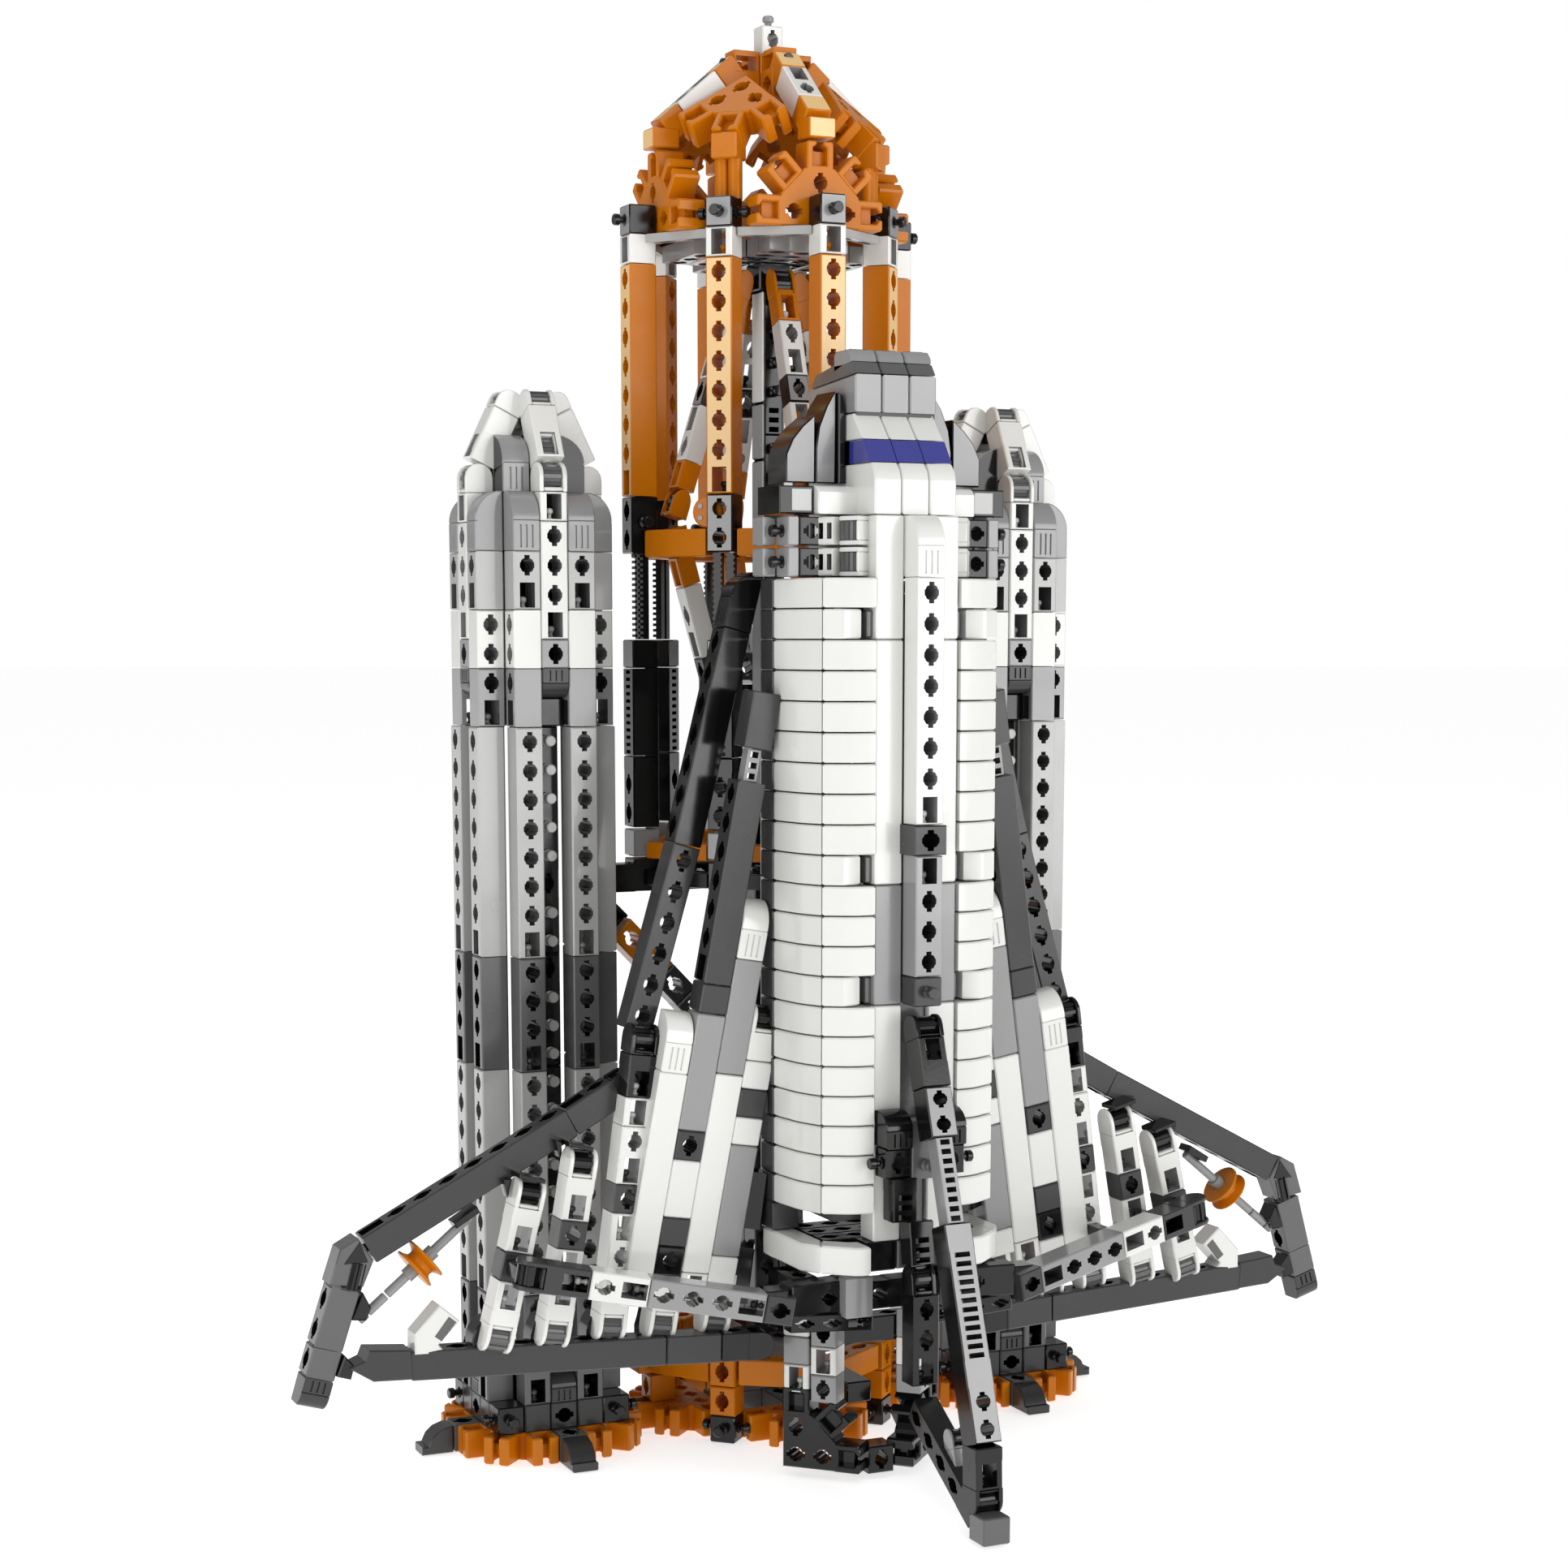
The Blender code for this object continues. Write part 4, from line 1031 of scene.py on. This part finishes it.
# Wings: worked out on the left and mirrored. Column slopes are x lost for each unit of height.
wingSet = {"lean": 0.167, "columnC": (-5.81, 17.57), "faceTop": -8.9, "faceFall": 0.055,
           "pulley": (-15.71, -6.9, 8.56), "pulleyAxis": (-0.773, 0, -0.635),
           "pulleyBody": {"L": "pulley_left", "R": "pulley_right"},
           "roofs": [([(-12.63, 11.56), (-12.66, 11.42), (-11.78, 11.16), (-11.76, 11.3)],
                      [(-13.04, 11.3), (-12.87, 10.68), (-12.72, 11.3)]),
                     ([(-10.9, 12.5), (-10.93, 12.36), (-10.07, 12.12), (-10.05, 12.26)],
                      [(-11.2, 12.5), (-11.05, 11.9), (-10.95, 12.5)])],
           "brackets": [(-14.1, -13.56, 5.58, 6.6), (-12.05, -11.64, 5.5, 6.49),
                        (-10.06, -9.59, 5.48, 6.47), (-8.03, -7.7, 5.14, 6.31)],
           "tip": [(-17.91, 9.69), (-18.52, 9.36), (-18.91, 8.22), (-17.77, 8.04), (-17.4, 8.89)],
           "beamEnd": [(-18.31, 5.35), (-17.78, 5.56), (-17.64, 5.9), (-16.19, 5.76), (-16.12, 4.75),
                       (-17.49, 4.82)],
           "slantedBrick": [(-16.07, 6.29), (-15.2, 7.2), (-14.52, 6.6), (-15.26, 5.85), (-14.97, 5.5),
                            (-16.08, 5.6)]}


def columnAt(step, z):
    # the middle of a fanned column at a height, its front face leaning back as it goes down
    x = wingSet["columnC"][0] - wingSet["lean"] * (wingSet["columnC"][1] - z) + step * 1.03
    y = wingSet["faceTop"] + wingSet["faceFall"] * (17.57 - z) + .5
    return np.array((x, y, z))


def wingPanels():
    name = "wingPanelsL"
    column = [(-1, 14.7, 6.7, "w.8"), (0, 16.6, 6.7, "l.4 d.h w.2 d.1 k.h w.1"),
              (1, 18.4, 6.7, "l.4 w.7 w.s"), (2, 16.8, 7.2, "w.K1 w.1 d.1 w.1 l.4 w.1")]
    for step, top, bottom, words in column:
        line(name, columnAt(step, top), columnAt(step, bottom), ahead, words)
    for step, top in ((-1, 14.7), (1, 18.4)):
        origin = columnAt(step, top)
        slopeBlock(name, origin, columnAt(step, top + 2) - origin, ahead, 2.0, .85, "w")
    line(name, columnAt(0, 17.6), columnAt(0, 16.6), ahead, "d.1")
    line(name, columnAt(0, 24.34), columnAt(0, 17.6), (-1, 0, 0), "d.hhhhhhs")
    line(name, columnAt(0, 27.3), columnAt(0, 25.4), ahead, "d.2")
    line(name, columnAt(0, 25.4), columnAt(0, 24.34), ahead, "l.t", (.5, .5))
    for step, z in ((3, 9.0), (3, 13.0), (3, 6.4)):
        line(name, columnAt(step - .2, z + 2), columnAt(step - .1, z), up, "k.hh", (.8, .8))


def wingRods():
    name = "wingRodsL"
    line(name, (-12.1, -7.72, 11.3), (-13.5, -7.72, 5.5), ahead, "w.Kqs d.1 w.sqr")
    line(name, (-10.3, -7.78, 12.2), (-11.5, -7.78, 5.5), ahead, "w.Kqs d.h w.s w.sqr")
    line(name, (-8.05, -7.7, 16.25), (-9.45, -7.7, 5.5), ahead, "k.K k.qs w.s w.hs d.h w.sh w.sqr")
    for x in (-7.65, -5.65):
        line(name, (x + .35, -7.75, 7.5), (x - .02, -7.75, 5.3), ahead, "w.sr")
    line(name, (-13.25, -9.3, 8.53), (-4.2, -11.35, 6.83), (-.2, -1, 0), "d.Kqs w.hs l.hhhs d.h")
    for x in (-12.9, -11.1, -9.2):
        share = (x + 13.25) / 9.05
        y, z = -9.3 - 2.05 * share, 8.53 - 1.7 * share
        run(name, (x, -7.9, z), ahead, up, "k.1", (.5, .5), stretch=max(-7.9 - y, .2))
    for roof, corner in wingSet["roofs"]:
        facing(name, roof, -8.3, -7.3, "k", .02)
        facing(name, corner, -7.7, -7.2, "k", .02)
    for left, right, low, high in wingSet["brackets"]:
        bracket = [(right, low), (right, high), (right - .16, high - .05), (left + .1, high - .35),
                   (left, high - .65), (left, low)]
        facing(name, bracket, -7.45, -6.6, "k")


def wingFrame():
    name = "wingFrameL"
    y = -6.88
    line(name, (-8.8, y, 13.9), (-10.47, y, 12.97), up, "d.hs")
    line(name, (-10.47, y, 12.97), (-17.55, y, 9.24), up, "d.hhhhhhhs")
    facing(name, wingSet["tip"], -7.36, -6.38, "g")
    # a thin black triangle on the grey tip's front: painted shade standing in for the open gap of the corner
    # bracket
    facing(name, [(-18.4, 8.86), (-17.86, 9.55), (-17.6, 8.86)], -7.39, -7.2, "k", .01)
    put(name, fluted(.36, .07, 0, .92, "k"), (-17.9, -7.12, 8.86), axesOf((0, 1, 0), (-.26, 0, -.97)), "k")
    line(name, (-18.33, -6.78, 8.0), (-18.95, -6.7, 6.03), (-1, 0, .3), "g.hh")
    line(name, (-18.95, -6.7, 6.03), (-19.25, -6.68, 5.05), (-1, 0, .3), "g.h")
    origin = np.array((-19.25, -6.68, 5.03))
    slopeBlock(name, origin, (-.3, 0, -1), ahead, 1.0, .4, "d")
    facing(name, wingSet["beamEnd"], -7.38, -6.38, "d")
    facing(name, [(-17.75, 7.82), (-17.5, 7.3), (-17.67, 6.89), (-18.14, 6.94)], -7.3, -6.5, "k")
    facing(name, [(-18.42, 5.79), (-18.1, 5.4), (-18.23, 4.95), (-18.7, 5.1)], -7.3, -6.5, "k")
    line(name, (-16.15, -6.87, 5.2), (-7.47, -7.9, 5.05), up, "d.hhhhhhhh")
    line(name, (-7.47, -7.9, 5.05), (-5.5, -8.1, 5.0), up, "d.11")
    line(name, (-5.5, -8.1, 5.0), (-3.6, -8.3, 4.95), up, "k.hk")
    line(name, (-7.3, -7.0, 14.75), (-8.8, -6.88, 13.9), up, "k.hK")
    facing(name, wingSet["slantedBrick"], -7.42, -6.5, "w")
    facing(name, [(-15.4, 6.15), (-14.9, 6.78), (-14.65, 6.57), (-15.16, 5.97)], -7.44, -7.3, "g", .01)
    facing(name, [(-14.67, 9.92), (-13.86, 10.42), (-13.75, 10.2), (-14.56, 9.72)], -7.42, -6.7, "k", .03)
    centre, axis = np.array(wingSet["pulley"]), np.array(wingSet["pulleyAxis"])
    axis = axis / np.linalg.norm(axis)
    shaft = turned([(.25, -.62), (.25, .62)], 16)
    put(name, shaft, centre, axesOf((0, 1, 0), axis), "l")
    for low, high in ((-2.3, -.36), (.36, 1.5), (1.55, 2.35), (2.4, 2.75)):
        rod = turned([(.13, low), (.16, low + .03), (.16, high - .03), (.13, high)], 14)
        put(name, rod, centre, axesOf((0, 1, 0), axis), "l")


def wingStrake():
    name = "wingStrakeL"
    line(name, (-4.45, -6.97, 29.3), (-6.28, -6.97, 22.15), (-1, 0, 0), "k.hhhhhhh")
    line(name, (-6.28, -6.97, 22.15), (-8.1, -6.97, 15.95), ahead, "d.hhhhhh")
    slopeBlock(name, (-4.45, -6.97, 29.3), (.248, 0, .969), (-1, 0, 0), 2.1, 1.0, "k")


def pulley(side, tag):
    # a grooved wheel: bore, two thin flanges and the hollow between them, turned round its axle
    centre, axis = np.array(wingSet["pulley"]) * (side, 1, 1), np.array(wingSet["pulleyAxis"]) * (side, 1, 1)
    profile = [(.262, -.3), (.74, -.3), (.78, -.27), (.78, -.22), (.62, -.16), (.5, -.08), (.48, 0),
               (.5, .08), (.62, .16), (.78, .22), (.78, .27), (.74, .3), (.262, .3)]
    put("pulley" + tag, turned(profile, 40, closed=True), centre, axesOf((0, 1, 0), axis), "o")
    finishPiece("pulley" + tag, "o", wingSet["pulleyBody"][tag])


def wings():
    wingPanels()
    wingRods()
    wingFrame()
    wingStrake()
    for name, main in {"wingPanels": "l", "wingRods": "w", "wingFrame": "d", "wingStrake": "d"}.items():
        finishPair(name, main)
    pulley(1, "L")
    pulley(-1, "R")
    print("wings made")


# Fin: its front edge is a straight line leaning forward as it goes down.
finSet = {"top": (0, -12.95, 16.85), "foot": (0, -17.5, 3.4)}


def finPoint(length, back=.5):
    top, foot = np.array(finSet["top"], float), np.array(finSet["foot"], float)
    along = (foot - top) / np.linalg.norm(foot - top)
    normal = np.array((0, along[2], -along[1]))
    return top + along * length - normal * back, along, normal


def fin():
    start, along, front = finPoint(0)
    # x paints a light grey front on the black bricks: a lamp's painted reflection
    run("finArm", start, along, front, "k.K k.s1 x.hh", stretch=4.2 / 5)
    start, along, front = finPoint(4.2, .45)
    run("finRod", start, along, front, "l.ttt", (.62, .7), stretch=2.85 / 3)
    start, along, front = finPoint(7.05)
    # x paints a light grey front on the black rod: a lamp's painted reflection
    run("finRod", start, along, front, "x.1tttt1hh", stretch=7.2 / 8)
    start, along, front = finPoint(14.25)
    run("finFoot", start, (0, -.04, -1), ahead, "k.qsk", stretch=.92)
    put("finFoot", block(.95), (0, -17.62, .08), axesOf(up, ahead), "g")
    run("finFoot", (0, -17.2, .75), (0, .86, .51), (-1, 0, 0), "k.1hhhh", (.9, .9), stretch=1.03)
    run("finFoot", (0, -15.5, 1.9), (0, .3, .95), ahead, "l.1k", (.6, .6), stretch=.7)
    for side in (-1, 1):
        run("rudder", (side, -12.45, 12.3), down, ahead, "k.h", (.97, .8))
        put("rudder", pegShape(), (side * 1.0, -12.5, 11.8), axesOf(up, (side, 0, 0)), "k")
        slopeBlock("rudder", np.array((side * 1.0, -12.5, 12.32)), up, ahead, 1.2, .8, "k")
    run("rudder", (0, -12.45, 13.2), down, ahead, "g.bb", (.97, .8))
    run("rudder", (-.75, -12.5, 11.3), down, ahead, "k.qt", (.9, .8))
    run("rudder", (-.2, -12.6, 9.8), (0, -.12, -1), ahead, "k.qt k.K", (.9, .8))
    run("rudder", (0, -12.6, 7.3), down, ahead, "k.hhs", (1, .9), stretch=1.05)
    for name, main in {"finArm": "d", "finRod": "l", "finFoot": "d", "rudder": "k"}.items():
        finishPiece(name, main)
    print("fin made")


def engines():
    mount, fans = "engineMount", "engineFans"
    run(mount, (-5.1, -10.85, 7.0), (1, 0, 0), ahead, "k.1hhhh1hhhh1", (1, .9), stretch=10.2 / 11)
    for side in (-1, 1):
        run(mount, (side * 4.3, -11.05, 7.1), (side * -.9, .1, 0), ahead, "k.1hk", (1.1, .9))
        run(mount, (side * 4.2, -11.0, 6.3), (side * -1, -.05, -.05), ahead, "k.hhs", (.6, .7))
        run(mount, (side * 3.4, -8.7, 7.2), ahead, up, "k.hh")
        run(mount, (side * 1.9, -11.5, 6.4), up, ahead, "l.2", (1, .6), stretch=.7)
        start = np.array((side * 3.14, -8.0, .25))
        along = np.array((-side * .7071, -.7071, 0))
        outwards = np.array((side * .7071, -.7071, 0))
        corner = start + along * .6 + (0, 0, .62) - outwards * .5
        fan(fans, corner, along, up, outwards, (0, 90), "k")
        for step, words in ((0, "w.1 l.1 w.s"), (1, "l.h w.s l.h")):
            top = 5.2 if step == 0 else 4.9
            run(fans, corner + along * step + (0, 0, top), down, outwards, words, (.95, .95))
    run(fans, (0, -9.2, 1.2), down, ahead, "k.h")
    put(fans, block(2.6, .95, .75), (0, -7.9, 2.67), axesOf((0, 1, 0), up), "k")
    run(fans, (-2.4, -8.2, 5.1), (1, 0, 0), up, "k.hhhhh", (.95, .9), stretch=.96)
    finishPiece(mount, "k")
    finishPiece(fans, "k")
    print("engines made")


tank()
orbiter()
wings()
fin()
engines()


# Light: a white room with four soft boxes, the front right one the nearest.
studioSet = {"floorRadius": 30, "ambient": 0.34, "glow": 0.66, "lamps": [
    ("key", (-0.7, -1.6, 2.0), 1.0, 9), ("card", (0.95, -1.75, 0.5), 1.0, 13),
    ("left", (-1.8, -0.8, 0.45), 0.9, 6), ("top", (-0.3, 0.5, 2.2), 1.4, 8)]}


def studio():
    floor = bpy.data.meshes.new("floor")
    angle = np.arange(64) * 2 * math.pi / 64
    rim = np.column_stack([np.cos(angle), np.sin(angle), np.zeros(64)]) * studioSet["floorRadius"]
    floor.from_pydata(rim.tolist(), [], [list(range(64))])
    ground = bpy.data.objects.new("floor", floor)
    ground.location = (0, 0, -0.0005)
    bpy.context.scene.collection.objects.link(ground)
    pale = bpy.data.materials.new("paleFloor")
    pale.use_nodes = True
    shader = pale.node_tree.nodes["Principled BSDF"]
    shader.inputs["Base Color"].default_value = (0.95, 0.95, 0.95, 1)
    shader.inputs["Roughness"].default_value = 0.9
    shader.inputs["Emission Color"].default_value = (1, 1, 1, 1)
    shader.inputs["Emission Strength"].default_value = studioSet["glow"]
    floor.materials.append(pale)
    world = bpy.data.worlds.new("studio")
    bpy.context.scene.world = world
    world.use_nodes = True
    nodes, links = world.node_tree.nodes, world.node_tree.links
    back = nodes["Background"]
    sight, pick = nodes.new("ShaderNodeLightPath"), nodes.new("ShaderNodeMix")
    links.new(sight.outputs["Is Camera Ray"], pick.inputs["Factor"])
    pick.inputs["A"].default_value, pick.inputs["B"].default_value = studioSet["ambient"], 1.0
    links.new(pick.outputs["Result"], back.inputs["Strength"])
    back.inputs["Color"].default_value = (1, 1, 1, 1)
    for name, place, size, power in studioSet["lamps"]:
        lamp = bpy.data.lights.new(name, "AREA")
        lamp.shape, lamp.size, lamp.energy = "SQUARE", size, power
        holder = bpy.data.objects.new(name, lamp)
        holder.location = place
        holder.visible_camera = False
        aim = np.array((0, 0, 0.25)) - np.array(place)
        tilt = math.atan2(math.hypot(aim[0], aim[1]), -aim[2])
        holder.rotation_euler = (tilt, 0, math.atan2(-aim[0], aim[1]))
        bpy.context.scene.collection.objects.link(holder)
    bpy.context.scene.view_settings.view_transform = "Standard"


studio()
print("studio set")
